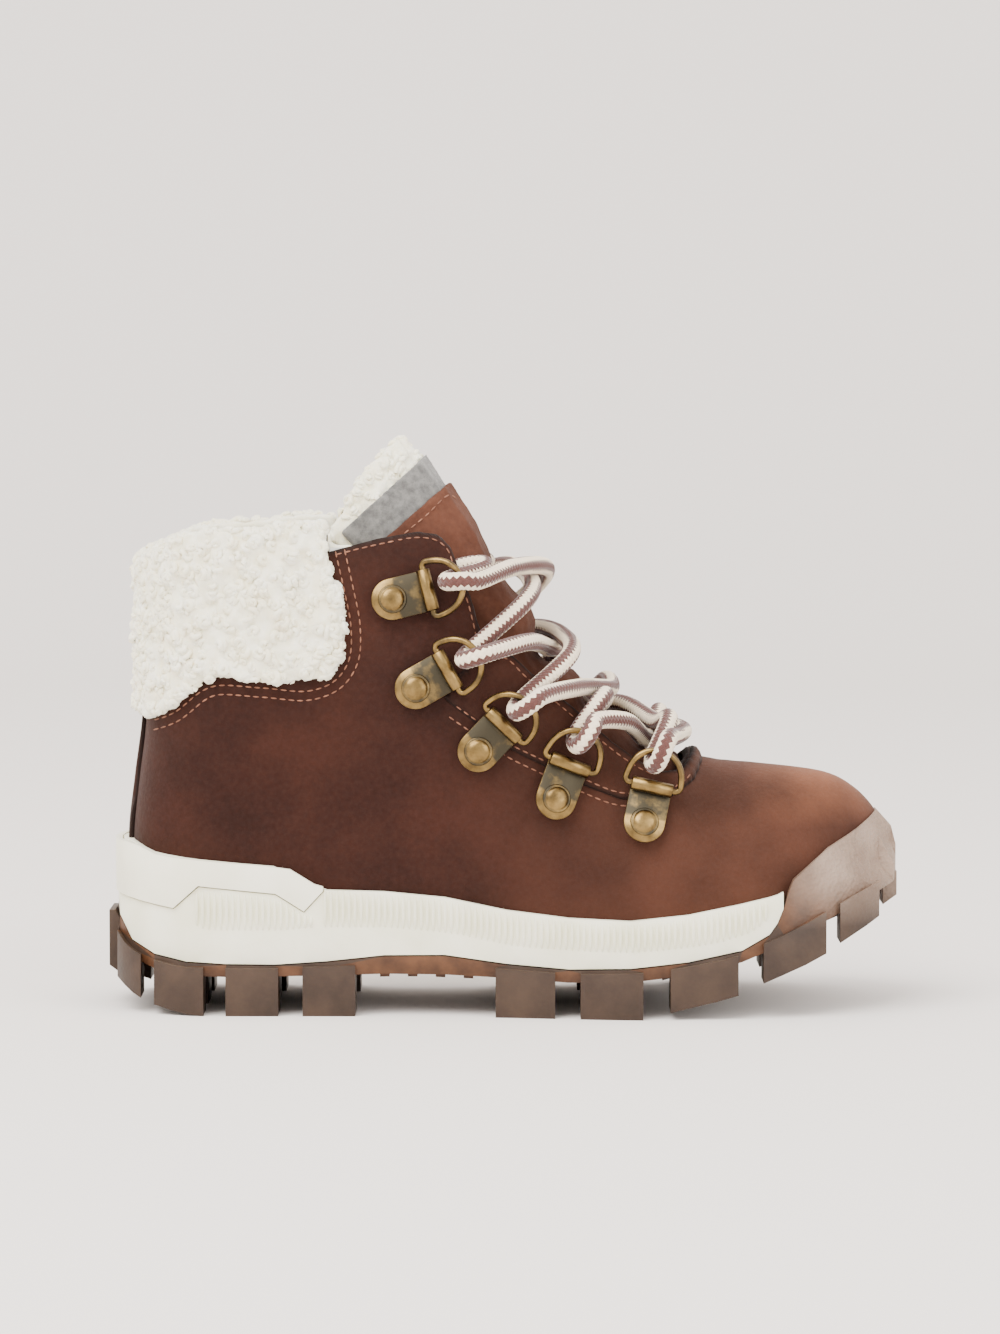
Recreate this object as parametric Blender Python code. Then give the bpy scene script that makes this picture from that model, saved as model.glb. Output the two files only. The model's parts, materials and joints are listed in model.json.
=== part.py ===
"""Child's fleece-lined lace-up hiking boot for the right foot.

Metres, +Z up.  The toe points to +X, the outer side of the foot is -Y, and the origin is on the ground
under the middle of the outsole.  Outlines are given in millimetres at the nominal size and scale with
OUTSOLE_LENGTH, OUTSOLE_WIDTH and BOOT_HEIGHT; thicknesses and hardware keep their own named sizes.
"""
import math

import bmesh
import bpy
import numpy as np
from mathutils import Matrix, Vector

for leftover in list(bpy.data.objects):
    bpy.data.objects.remove(leftover, do_unlink=True)

MM = 0.001

# ---- driving dimensions -------------------------------------------------------------------------
OUTSOLE_LENGTH = 0.200      # back of the heel lug to the front of the toe bumper
OUTSOLE_WIDTH = 0.080       # across the ball, over the faces of the lugs
BOOT_HEIGHT = 0.145         # ground to the tip of the tongue

GAP = 0.0003                # air kept between pieces that touch on the real boot
LEATHER = 0.0016            # upper leather
MID_LAYER = 0.0012          # insulation, heel counter, toe puff and collar foam
LINING = 0.0028             # pile lining with its backing
CUFF_PROUD = 0.0030         # how far the pile cuff stands out past the leather
OVERLAY = 0.0010            # throat facing and backstay
UPPER_INSET = 0.0046        # lug face to the leather inside the cup
LUG_PROUD = 0.0018          # lug faces past the side of the midsole
STABILISER = 0.0016         # heel stabiliser wall
STABILISER_PROUD = 0.0005
TONGUE_LEATHER = 0.0012
TONGUE_FELT = 0.0015
TONGUE_PILE = 0.0026
GUSSET = 0.0008
BOARD = 0.0018              # insole board
FOOTBED = 0.0035
FOOTBED_PILE = 0.0025
SHANK_WIDTH = 0.0140
SHANK_THICK = 0.0012

PLATE_WIDTH = 0.0104        # lace hook: folded plate, hinged D-ring, one rivet
PLATE_SHEET = 0.0007
PLATE_REACH = 0.0090        # barrel axis to rivet axis
RING_WIRE = 0.0016
RING_HALF_WIDTH = 0.00695   # to the middle of the wire
RING_DEPTH = 0.0092         # barrel axis to the middle of the far wire
RING_LIFT = math.radians(27)
BARREL_PLAY = 0.00025       # wire in its barrel, on the radius
RIVET_HEAD = 0.0071
RIVET_DOME = 0.0012
RIVET_SHANK = 0.0026
RIVET_TAIL = 0.0044
RIVET_PLAY = 0.0003

LACE = 0.0045
LACE_PLAY = 0.0006         # lace to the wire that it turns round
AGLET = 0.0052
AGLET_LENGTH = 0.0160

SX = OUTSOLE_LENGTH / 0.200
SY = OUTSOLE_WIDTH / 0.080
SZ = BOOT_HEIGHT / 0.145
SIDES = {"lateral": -1.0, "medial": 1.0}


# ---- outlines -----------------------------------------------------------------------------------
def curve(points, across=SX, up=SZ):
    """Return a smooth function through points that never overshoots them (monotone cubic)."""
    table = np.array(points, float) * MM
    xs = table[:, 0] * across
    ys = table[:, 1] * up
    secant = np.diff(ys) / np.diff(xs)
    slope = np.zeros(len(xs))
    slope[0] = secant[0]
    slope[-1] = secant[-1]
    for k in range(1, len(xs) - 1):
        if secant[k - 1] * secant[k] > 0:
            slope[k] = 2 * secant[k - 1] * secant[k] / (secant[k - 1] + secant[k])

    def value(x):
        x = min(max(x, xs[0]), xs[-1])
        k = min(max(int(np.searchsorted(xs, x)) - 1, 0), len(xs) - 2)
        h = xs[k + 1] - xs[k]
        t = (x - xs[k]) / h
        return ((1 + 2 * t) * (1 - t) ** 2 * ys[k] + t * (1 - t) ** 2 * h * slope[k]
                + t * t * (3 - 2 * t) * ys[k + 1] - t * t * (1 - t) * h * slope[k + 1])
    return value


# plan: share of half the outsole width, given per side, x in mm and the share in thousandths
share_lateral = curve([(-100, 800), (-45, 800), (-20, 820), (0, 870), (20, 955), (36, 1000), (55, 985),
                       (70, 930), (85, 800), (100, 700)], up=1.0)
share_medial = curve([(-100, 800), (-70, 790), (-45, 765), (-20, 720), (0, 735), (20, 820), (38, 930),
                      (52, 1000), (66, 995), (80, 950), (100, 900)], up=1.0)
# side view of the sole
ground = curve([(-100, 10), (-91, 3.8), (-80, 0.6), (-76, 0), (35, 0), (42, 2), (58, 6), (64.5, 9),
                (80, 15.5), (84, 18), (95, 24), (100, 27.5)])
gum_bottom = curve([(-100, 21), (-95, 14.5), (-89, 11.5), (-76, 9.6), (-45, 10), (-24, 10.6), (0, 9.8),
                    (17, 8.9), (34, 9.3), (46, 11), (57, 13.5), (66, 17), (80, 23.5), (90, 28.3), (100, 32)])
sole_line = curve([(-100, 27), (-98.2, 25.3), (-95, 19), (-88.9, 15), (-76.2, 12.8), (-58.9, 12.4),
                   (-45, 13.2), (-24.2, 15.1), (-13.7, 15), (-3.3, 13.4), (17, 11.9), (33.6, 12.4),
                   (45.5, 13.9), (57.4, 16.2), (66, 20.6), (69, 25.5), (70.6, 31), (73.8, 37.1),
                   (78.4, 39.8), (85, 43.6), (91.9, 46.6), (95.6, 48.9), (98.3, 46), (100, 40)])
midsole_top = curve([(-100, 42.3), (-93.7, 42.3), (-86.7, 39.9), (-72.9, 38.5), (-54.1, 36.8), (-48.5, 34),
                     (-45, 31.4), (-27.6, 30.9), (-13.7, 29.5), (-2, 27), (13.8, 25.1), (26.5, 24.2),
                     (37.6, 24.6), (49.5, 26.6), (61.3, 29), (68.5, 30.8), (70, 31.7)])
cup = curve([(-100, 24), (-60, 23.5), (-30, 22), (0, 18.8), (30, 17.3), (45, 18.4), (60, 22), (75, 28),
             (90, 35), (100, 39.5)])
# side view of the upper
heel_back = curve([(15, -94.6), (43, -94.4), (58, -92.8), (73, -91), (90, -90.6), (106, -90.8),
                   (125, -89.5), (160, -89)], across=SZ, up=SX)
ridge = curve([(-100, 250), (-45, 181), (-21, 150), (-13, 137.5), (-2, 123), (8.5, 107), (15.8, 93),
               (27.5, 82.5), (36, 76), (45.2, 68.5), (48, 64.8), (50.3, 62.7), (62.5, 60.9), (73.8, 59.7),
               (80.6, 58.7), (85, 57.3), (89.6, 54.4), (92.9, 51.2), (95, 48.3), (96.4, 45.5), (97, 43)])
crown_depth = curve([(-100, 110), (-40, 95), (-10, 82), (20, 76), (36, 58), (50, 40), (62, 34), (100, 31)])
shaft_half = curve([(-100, 30.5), (-10, 30), (20, 31), (40, 33.6), (100, 33)], up=SY)
tongue_ridge = curve([(-60, 190), (-30, 158), (-21, 144.5), (-13, 132), (-5, 118.5), (-3, 112), (2.5, 101),
                      (9.8, 85), (14, 80.5), (23.8, 73.5), (33, 66.5), (41, 61.2), (48, 59.3), (60, 57)])
tongue_half = curve([(-60, 15.5), (-25, 16.5), (-10, 18), (10, 19), (40, 17.5), (60, 17)], up=SY)
TOE_END = 97.0 * MM * SX
CAP = 158.0 * MM * SZ        # the form is closed here; panels are cut lower
TONGUE_CROWN = 58.0 * MM * SZ
HEEL_ROUND = 30.0 * MM * SX
TOE_ROUND = 33.0 * MM * SX


def middle(x):
    """Y of the foot's centre line, which swings inwards at the toe."""
    return OUTSOLE_WIDTH / 4 * (share_medial(x) - share_lateral(x))


def mean_half(x):
    return OUTSOLE_WIDTH / 4 * (share_medial(x) + share_lateral(x))


def rounded(distance, reach, power=2.35):
    """0 at an edge, 1 once distance has passed reach, with a round corner between."""
    a = min(max(1 - distance / reach, 0.0), 1.0)
    return (1 - a ** power) ** (1 / power)


def smooth_step(x):
    x = min(max(x, 0.0), 1.0)
    return x * x * (3 - 2 * x)


def half_width(x, z, offset):
    """Half width of the upper's form at a side-view point, grown by offset."""
    rise = smooth_step((z - 45 * MM * SZ) / (40 * MM * SZ))
    half = (mean_half(x) - UPPER_INSET) * (1 - rise) + shaft_half(x) * rise + offset
    return (half * rounded(ridge(x) + offset - z, crown_depth(x), 2.1)
            * rounded(x - heel_back(z) + offset, HEEL_ROUND) * rounded(TOE_END + offset - x, TOE_ROUND))


def tongue_width(x, z, offset):
    return ((tongue_half(x) + offset) * rounded(tongue_ridge(x) + offset - z, TONGUE_CROWN, 2.0))


def sole_side(x, side, inset):
    """Y of the sole's outline on one side, moved in from the lug faces by inset."""
    share = share_lateral(x) if side < 0 else share_medial(x)
    return side * ((OUTSOLE_WIDTH / 2 * share - inset)
                   * rounded(x + OUTSOLE_LENGTH / 2 - inset, HEEL_ROUND)
                   * rounded(OUTSOLE_LENGTH / 2 - x, TOE_ROUND))


def on_upper(x, z, side, offset):
    return Vector((x, middle(x) + side * half_width(x, z, offset), z))


def normal_of(x, z, side):
    step = 0.2 * MM
    along = on_upper(x + step, z, side, 0) - on_upper(x - step, z, side, 0)
    upward = on_upper(x, z + step, side, 0) - on_upper(x, z - step, side, 0)
    return (along.cross(upward) * -side).normalized()


def height_over(point, side, offset=0.0):
    """Distance of a point from the upper's surface at offset, along the surface normal."""
    surface = on_upper(point.x, point.z, side, 0)
    return side * (point.y - surface.y) * abs(normal_of(point.x, point.z, side).y) - offset


# ---- mesh helpers -------------------------------------------------------------------------------
def mesh_object(name, verts, faces):
    work = bmesh.new()
    points = [work.verts.new(v) for v in verts]
    for face in faces:
        work.faces.new([points[k] for k in face])
    bmesh.ops.remove_doubles(work, verts=work.verts, dist=1e-7)
    bmesh.ops.dissolve_degenerate(work, edges=work.edges, dist=1e-7)
    bmesh.ops.triangulate(work, faces=work.faces)
    bmesh.ops.recalc_face_normals(work, faces=work.faces)
    if work.calc_volume(signed=True) < 0:
        bmesh.ops.reverse_faces(work, faces=work.faces)
    mesh = bpy.data.meshes.new(name)
    work.to_mesh(mesh)
    work.free()
    obj = bpy.data.objects.new(name, mesh)
    bpy.context.scene.collection.objects.link(obj)
    return obj


def combine(obj, tool, operation, keep_tool=False):
    """Apply one Boolean and, unless it is needed again, remove the tool."""
    mod = obj.modifiers.new(operation.title(), "BOOLEAN")
    mod.operation = operation
    mod.object = tool
    mod.solver = "EXACT"
    graph = bpy.context.evaluated_depsgraph_get()
    result = bpy.data.meshes.new_from_object(obj.evaluated_get(graph))
    obj.modifiers.remove(mod)
    obj.data = result
    if not keep_tool:
        bpy.data.objects.remove(tool, do_unlink=True)
    return obj


def tidy(obj, weld=4e-6):
    work = bmesh.new()
    work.from_mesh(obj.data)
    bmesh.ops.remove_doubles(work, verts=work.verts, dist=weld)
    bmesh.ops.dissolve_degenerate(work, edges=work.edges, dist=weld)
    bmesh.ops.triangulate(work, faces=work.faces)
    work.to_mesh(obj.data)
    work.free()


def stations(count):
    return [0.5 - 0.5 * math.cos(math.pi * k / count) for k in range(count + 1)]


def section_solid(name, sections, end_caps=True):
    """Close a run of sections, each a pair of point rows (one per side) from bottom to top."""
    rows = len(sections[0][0])
    verts = []
    for lateral, medial in sections:
        verts += lateral + medial
    faces = []
    for i in range(len(sections) - 1):
        a = i * 2 * rows
        b = a + 2 * rows
        for j in range(rows - 1):
            faces.append((a + j, b + j, b + j + 1, a + j + 1))
            faces.append((a + rows + j, a + rows + j + 1, b + rows + j + 1, b + rows + j))
        faces.append((a, a + rows, b + rows, b))
        faces.append((a + rows - 1, b + rows - 1, b + 2 * rows - 1, a + 2 * rows - 1))
    if end_caps:
        for a, flip in ((0, False), ((len(sections) - 1) * 2 * rows, True)):
            for j in range(rows - 1):
                quad = (a + j, a + j + 1, a + rows + j + 1, a + rows + j)
                faces.append(quad[::-1] if flip else quad)
    return closed_mesh(name, verts, faces)


def closed_mesh(name, verts, faces):
    """Build faces whose corners may coincide, dropping the ones that collapse."""
    merged = {}
    index = []
    kept = []
    for v in verts:
        key = (round(v[0], 7), round(v[1], 7), round(v[2], 7))
        if key not in merged:
            merged[key] = len(kept)
            kept.append(v)
        index.append(merged[key])
    solid_faces = []
    seen = set()
    for face in faces:
        corners = []
        for k in face:
            if index[k] not in corners:
                corners.append(index[k])
        if len(corners) >= 3 and frozenset(corners) not in seen:
            seen.add(frozenset(corners))
            solid_faces.append(corners)
    return mesh_object(name, kept, solid_faces)


def box_between(name, xs, ys, floor, roof):
    """Block over an x range, with its underside on floor(x) and its top on roof(x)."""
    sections = []
    for x in xs:
        y0, y1 = ys(x)
        sections.append(([Vector((x, y0, floor(x))), Vector((x, y0, roof(x)))],
                         [Vector((x, y1, floor(x))), Vector((x, y1, roof(x)))]))
    return section_solid(name, sections)


FOOT = (half_width, ridge, None)
TONGUE = (tongue_width, tongue_ridge, (-47 * MM * SX, 61 * MM * SX))


NORMAL_PASSES = 2        # how often the outward normals are blurred, so deep offsets do not cross


def surface_grid(shape, count, rows, roof, lift):
    """Points of a form's surface as [side][station][row], and their outward normals."""
    width, crest, ends = shape
    grid = np.zeros((2, count + 1, rows + 1, 3))
    for i, s in enumerate(stations(count)):
        def place(z, s=s):
            if ends:
                return ends[0] + s * (ends[1] - ends[0])
            return heel_back(z) + s * (TOE_END - heel_back(z))
        bottom = cup(place(30 * MM * SZ)) + lift
        top = 60 * MM * SZ
        for _ in range(6):
            top = bottom + roof if roof else min(crest(place(top)), CAP)
        closed_end = ends is None and i in (0, count)
        for j in range(rows + 1):
            z = bottom + (top - bottom) * (1 - (1 - j / rows) ** 1.6)
            x = place(z)
            half = 0.0 if closed_end else width(x, z, 0.0)
            if j == rows and roof is None and top < CAP - 1e-6:
                half = 0.0
            grid[0, i, j] = (x, middle(x) - half, z)
            grid[1, i, j] = (x, middle(x) + half, z)
    along = np.gradient(grid, axis=1)
    upward = np.gradient(grid, axis=2)
    normal = np.cross(along, upward)
    normal[1] *= -1
    normal /= np.linalg.norm(normal, axis=3, keepdims=True)
    meeting = np.linalg.norm(grid[0] - grid[1], axis=2) < 1e-7
    for _ in range(NORMAL_PASSES):
        mean = normal[0] + normal[1]
        mean[-1, -1] = mean[-1, -2] + mean[-2, -1]      # the toe's top corner, where both sides cancel
        mean /= np.maximum(np.linalg.norm(mean, axis=2, keepdims=True), 1e-9)
        normal[0][meeting] = mean[meeting]
        normal[1][meeting] = mean[meeting]
        wide = np.pad(normal, ((0, 0), (1, 1), (1, 1), (0, 0)), mode="edge")
        along = wide[:, 2:, 1:-1] + wide[:, :-2, 1:-1]
        up = wide[:, 1:-1, 2:] + wide[:, 1:-1, :-2]
        blurred = 2 * normal + along + up
        normal = blurred / np.linalg.norm(blurred, axis=3, keepdims=True)
    mean = normal[0] + normal[1]
    mean /= np.maximum(np.linalg.norm(mean, axis=2, keepdims=True), 1e-9)
    normal[0][meeting] = mean[meeting]
    normal[1][meeting] = mean[meeting]
    return grid, normal


def form(name, offset, deep=0.0, shape=FOOT, roof=None, lift=0.0, count=20, rows=8):
    """Solid of the foot or tongue form grown by offset, from the cup's floor up to its ridge.

    Every layer is the same grid moved along the same normals, so layers nest facet over facet.
    The underside and the flat top over the shaft are carried on by deep. With roof the solid is a
    slab of that thickness, raised by lift.
    """
    grid, normal = surface_grid(shape, count, rows, roof, lift)
    grid = grid + normal * offset
    sections = []
    for i in range(count + 1):
        pair = []
        for side in (0, 1):
            row = [Vector(point) for point in grid[side, i]]
            if roof:
                for j, point in enumerate(row):
                    point.z = cup(point.x) + lift + roof * j / rows
            row[0].z -= deep
            if row[-1].z > CAP - MM:
                row[-1].z += deep
            pair.append(row)
        sections.append(pair)
    return section_solid(name, sections)


def prism(name, outline, half_depth=None, centre=0.0):
    """Side-view outline in nominal millimetres, extruded across the boot."""
    half_depth = half_depth or OUTSOLE_WIDTH
    flat = [(x * MM * SX, z * MM * SZ) for x, z in outline]
    count = len(flat)
    verts = [Vector((x, centre - half_depth, z)) for x, z in flat]
    verts += [Vector((x, centre + half_depth, z)) for x, z in flat]
    faces = [tuple(range(count)), tuple(reversed(range(count, 2 * count)))]
    faces += [(k, (k + 1) % count, (k + 1) % count + count, k + count) for k in range(count)]
    return mesh_object(name, verts, faces)


def grown(outline, amount):
    """Move a side-view outline outwards by amount, in nominal millimetres."""
    area = sum(a[0] * b[1] - b[0] * a[1] for a, b in zip(outline, outline[1:] + outline[:1]))
    turn = 1.0 if area > 0 else -1.0
    moved = []
    for k, point in enumerate(outline):
        before = Vector(point) - Vector(outline[k - 1])
        after = Vector(outline[(k + 1) % len(outline)]) - Vector(point)
        n1 = Vector((before.y, -before.x)).normalized()
        n2 = Vector((after.y, -after.x)).normalized()
        bisector = (n1 + n2).normalized()
        stretch = 1 / max(bisector.dot(n1), 0.5)
        moved.append(tuple(Vector(point) + bisector * (amount * turn * stretch)))
    return moved


FINISHES = {
    "gum": ((0.30, 0.20, 0.14), 0.55, 0.0),
    "foam": ((0.82, 0.81, 0.74), 0.60, 0.0),
    "plastic": ((0.85, 0.84, 0.77), 0.45, 0.0),
    "steel": ((0.50, 0.50, 0.52), 0.40, 1.0),
    "board": ((0.45, 0.33, 0.22), 0.90, 0.0),
    "nubuck": ((0.13, 0.058, 0.038), 0.85, 0.0),
    "tongue": ((0.16, 0.075, 0.050), 0.85, 0.0),
    "pile": ((0.86, 0.83, 0.72), 0.95, 0.0),
    "felt": ((0.36, 0.37, 0.37), 0.95, 0.0),
    "wadding": ((0.70, 0.70, 0.68), 0.95, 0.0),
    "brass": ((0.32, 0.23, 0.11), 0.35, 1.0),
    "lace": ((0.45, 0.30, 0.25), 0.80, 0.0),
    "aglet": ((0.20, 0.11, 0.08), 0.35, 0.0),
}


def finish(obj, kind, smooth=35):
    """Give a piece its own material and its shading."""
    colour, roughness, metallic = FINISHES[kind]
    material = bpy.data.materials.new(obj.name)
    material.use_nodes = True
    shader = material.node_tree.nodes["Principled BSDF"]
    shader.inputs["Base Color"].default_value = (*colour, 1)
    shader.inputs["Roughness"].default_value = roughness
    shader.inputs["Metallic"].default_value = metallic
    obj.data.materials.clear()
    obj.data.materials.append(material)
    obj.data.shade_smooth()
    obj.data.set_sharp_from_angle(angle=math.radians(smooth))
    return obj


# ---- side-view cut lines of the upper (nominal millimetres) --------------------------------------
THROAT_EDGE = [(-3.2, 92), (1.6, 90.5), (6.2, 86.2), (16.4, 77.4), (27, 68.4), (33.3, 63.9), (39, 61),
               (44, 61.2)]
QUARTER_EDGE = [(-43.6, 115.7), (-31.1, 119.1), (-20.7, 120.9), (-14.4, 119.1), (-11.6, 115.1),
                (-9.8, 108.5), (-7.7, 104.7), (-5.7, 96.8)]
COLLAR_EDGE = [(-43.6, 115.7), (-41.4, 106), (-39.7, 96.9), (-40.2, 89.3), (-43, 85.2), (-48.5, 83),
               (-59.6, 83.7), (-71.4, 84.2), (-76.2, 82.4), (-83.3, 76.8), (-90.9, 73.6), (-104, 72)]
COLLAR_TOP = [(-104, 112), (-90.9, 116.5), (-78.5, 120.7), (-59.7, 121.9), (-51.3, 123.4),
              (-43.6, 123.2)]
ABOVE_LEATHER = QUARTER_EDGE + THROAT_EDGE + [(47.4, 64.5), (47.4, 210), (-43.6, 210)]
COLLAR = COLLAR_EDGE + COLLAR_TOP
ABOVE_COLLAR = COLLAR_EDGE + [(-104, 210), (-43.6, 210)]
ABOVE_LINING = [(-104, 210), (-104, 111.6)] + COLLAR_TOP[1:] + [(-43.2, 117.2), (-31.1, 117.4),
                (-27, 118), (-27, 104), (-21, 93), (-11, 80), (2, 69), (16, 59), (30, 51.5), (46, 47.5),
                (58, 50), (64, 68), (64, 210)]
FACING_SEAM = [(48.6, 70), (50.4, 62.4), (47.5, 58), (42, 54.6), (29.3, 54), (20.6, 57.2), (9, 62.9),
               (2.4, 66.2), (-8, 74), (-15, 79.3), (-13, 84)]
FACING = [(x + 0.2, z - 0.5) for x, z in THROAT_EDGE] + [(47.9, 64.5), (48.1, 70)] + FACING_SEAM
STABILISER_SIDE = [(-104, 60), (-45.2, 60), (-45, 31.2), (-49.8, 26.1), (-56.8, 30.5), (-76.2, 32.4),
                   (-82.5, 26.7), (-104, 30.2)]
LOWER_TONGUE = [(57.5, 48), (44, 50), (28, 56), (12, 67), (0, 77), (-10, 88), (-22, 100)]
LEATHER_TONGUE = LOWER_TONGUE + [(-30, 118.2), (-12, 133.7), (-5, 142), (57.5, 142)]
FELT_TONGUE = LOWER_TONGUE + [(-30, 108), (-41, 120), (-16.5, 142.2), (-5, 152), (57.5, 152)]
PILE_TONGUE = LOWER_TONGUE + [(-30, 106), (-44, 119), (-36, 134), (-27, 143.2), (-20, BOOT_HEIGHT / MM),
                              (57.5, BOOT_HEIGHT / MM)]
GUSSET_BAND = [(0.5, 88), (6, 83.5), (16, 75), (27, 66), (33, 61.5), (39, 58.5), (44, 58), (44, 54),
               (38, 54), (30, 56.5), (24, 61), (14, 69.5), (5, 77.5), (-3, 84)]
CUFF_INNER = -LEATHER
MID_OUT = -LEATHER - GAP
MID_IN = MID_OUT - MID_LAYER
LINING_OUT = MID_IN - 2 * GAP
LINING_IN = LINING_OUT - LINING


def raised(profile, amount):
    return lambda x: profile(x) + amount


def layer(name, outer, inner, lift=0.0, shape=FOOT, count=20, rows=8):
    """Shell of a form between two offsets, open above and underneath, from lift above the cup's floor."""
    grid, normal = surface_grid(shape, count, rows, None, 0.0)
    skins = [grid + normal * outer, grid + normal * inner]
    verts = []
    for skin in skins:
        for side in (0, 1):
            for i in range(count + 1):
                column = [Vector(point) for point in skin[side, i]]
                column[0].z -= 5 * MM
                verts += column

    def corner(skin, side, i, j):
        return ((skin * 2 + side) * (count + 1) + i) * (rows + 1) + j

    faces = []
    for side in (0, 1):
        for i in range(count):
            for j in range(rows):
                for skin in (0, 1):
                    faces.append((corner(skin, side, i, j), corner(skin, side, i + 1, j),
                                  corner(skin, side, i + 1, j + 1), corner(skin, side, i, j + 1)))
            open_above = max(grid[side, i, rows, 2], grid[side, i + 1, rows, 2]) > CAP - 1e-6
            for j in ((0, rows) if open_above else (0,)):
                faces.append((corner(0, side, i, j), corner(0, side, i + 1, j),
                              corner(1, side, i + 1, j), corner(1, side, i, j)))
        if shape[2]:
            for i in (0, count):
                faces += [(corner(0, side, i, j), corner(0, side, i, j + 1),
                           corner(1, side, i, j + 1), corner(1, side, i, j)) for j in range(rows)]
    shell = closed_mesh(name, verts, faces)
    xs = [x * MM * SX for x in range(-110, 111, 10)]
    below = box_between("below", xs, lambda x: (-OUTSOLE_WIDTH, OUTSOLE_WIDTH), lambda x: -10 * MM,
                        raised(cup, lift))
    return combine(shell, below, "DIFFERENCE")


# ---- lace hooks: where they sit ------------------------------------------------------------------
HOOKS = [((-27.9, 103.9), (-19.1, 106.0)), ((-22.2, 81.8), (-14.1, 86.4)), ((-6.7, 65.9), (-0.1, 72.8)),
         ((12.8, 54.3), (15.8, 62.4)), ((35.0, 49.2), (36.6, 56.5))]
BORE = RING_WIRE / 2 + BARREL_PLAY
BARREL = BORE + PLATE_SHEET
SEAT = OVERLAY + GAP + 0.0002     # plates clear the facing under them


def hook_frame(number, side):
    """Matrix at the barrel's centre: X towards the rivet, Y along the barrel, Z out of the boot."""
    (rx, rz), (bx, bz) = HOOKS[number]
    barrel = on_upper(bx * MM * SX, bz * MM * SZ, side, SEAT)
    rivet = on_upper(rx * MM * SX, rz * MM * SZ, side, SEAT)
    towards = (rivet - barrel).normalized()
    outward = normal_of((rx + bx) / 2 * MM * SX, (rz + bz) / 2 * MM * SZ, side)
    outward = (outward - towards * outward.dot(towards)).normalized()
    across = outward.cross(towards)
    lowest = 1.0
    for along in (-BARREL, 0.25 * PLATE_REACH, 0.6 * PLATE_REACH, PLATE_REACH,
                  PLATE_REACH + PLATE_WIDTH / 2):
        for sideways in (-PLATE_WIDTH / 2, 0.0, PLATE_WIDTH / 2):
            reach = 0.75 if along > PLATE_REACH else 1.0
            point = barrel + towards * along + across * sideways * reach
            lowest = min(lowest, height_over(point, side, SEAT))
    centre = barrel + outward * (GAP - lowest + BARREL)
    return Matrix.Translation(centre) @ Matrix((towards, across, outward)).transposed().to_4x4()


# ---- soles --------------------------------------------------------------------------------------
def sole_block(name, bottom, top, inset, xs, rows=3):
    sections = []
    for x in xs:
        lateral = []
        medial = []
        for j in range(rows + 1):
            z = bottom(x) + (top(x) - bottom(x)) * j / rows
            wall = half_width(x, z, 0) + UPPER_INSET - LUG_PROUD + 0.0004
            for side, row in ((-1.0, lateral), (1.0, medial)):
                y = sole_side(x, side, inset)
                if z > 36 * MM * SZ and x > 60 * MM * SX:
                    y = side * min(abs(y), max(wall + side * middle(x), 0.0))
                row.append(Vector((x, y, z)))
        sections.append((lateral, medial))
    return section_solid(name, sections)


def sole_stations(inset, end, count, extra=()):
    start = -OUTSOLE_LENGTH / 2 + inset
    xs = [start + s * (end - start) for s in stations(count)]
    return sorted(xs + [x * MM * SX for x in extra])


SIDE_LUGS = [(-97.4, -90.9), (-87.4, -74.9), (-69.3, -56.2), (-50.1, -37.0), (-2, 12.8), (19.1, 34.6),
             (41.4, 58.2), (64.5, 80.4), (84.0, 94.5)]
CENTRE_LUGS = [(-84, -75), (-66, -57), (-49, -40), (1, 11), (22, 32), (44, 54), (65, 74)]
ARCH_RIDGES = [-31, -24, -17, -10]
LUG_DEPTH = 0.013
LUG_GRIP = 0.0015           # how deep a lug is rooted in the gum base


def lug_top(x):
    return min(sole_line(x) - 0.0005, gum_bottom(x) + 0.0024)


def make_lugs():
    blocks = []
    for x0, x1 in SIDE_LUGS:
        xs = [(x0 + (x1 - x0) * k / 3) * MM * SX for k in range(4)]
        for side in SIDES.values():
            def reach(x, side=side):
                outer = sole_side(x, side, 0.0)
                inner = side * max(abs(outer) - LUG_DEPTH, 0.003)
                return (outer, inner) if side < 0 else (inner, outer)
            blocks.append(box_between("lug", xs, reach, ground, lug_top))
    for x0, x1 in CENTRE_LUGS:
        xs = [x0 * MM * SX, x1 * MM * SX]
        blocks.append(box_between("lug", xs, lambda x: (middle(x) - 0.0075 * SY, middle(x) + 0.0075 * SY),
                                  ground, raised(gum_bottom, LUG_GRIP)))
    for x0 in ARCH_RIDGES:
        xs = [x0 * MM * SX, (x0 + 2.4) * MM * SX]
        blocks.append(box_between("lug", xs, lambda x: (middle(x) - 0.022 * SY, middle(x) + 0.022 * SY),
                                  raised(gum_bottom, -0.0016), raised(gum_bottom, LUG_GRIP)))
    half = OUTSOLE_LENGTH / 2
    heel_xs = [-half, -half + 0.0014, -half + 0.0045]
    blocks.append(box_between("lug", heel_xs, lambda x: (-0.008 * SY, 0.008 * SY), ground,
                              lambda x: min(24 * MM * SZ, sole_line(x) - 2 * GAP)))
    toe_xs = [half - 0.0035, half]
    blocks.append(box_between("lug", toe_xs, lambda x: (middle(x) - 0.008 * SY, middle(x) + 0.008 * SY),
                              ground, lambda x: 33.5 * MM * SZ))
    return blocks


TIP = 69.5                  # front end of the midsole, nominal millimetres
SOLE_XS = sole_stations(LUG_PROUD, OUTSOLE_LENGTH / 2, 20, (66, 68, TIP, 70.6, 72))


def make_outsole():
    outsole = sole_block("outsole", gum_bottom, sole_line, LUG_PROUD, SOLE_XS)
    combine(outsole, form("cup", GAP, 2 * GAP), "DIFFERENCE")
    for block in make_lugs():
        combine(outsole, block, "UNION")
    tidy(outsole)
    return finish(outsole, "gum")


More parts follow.
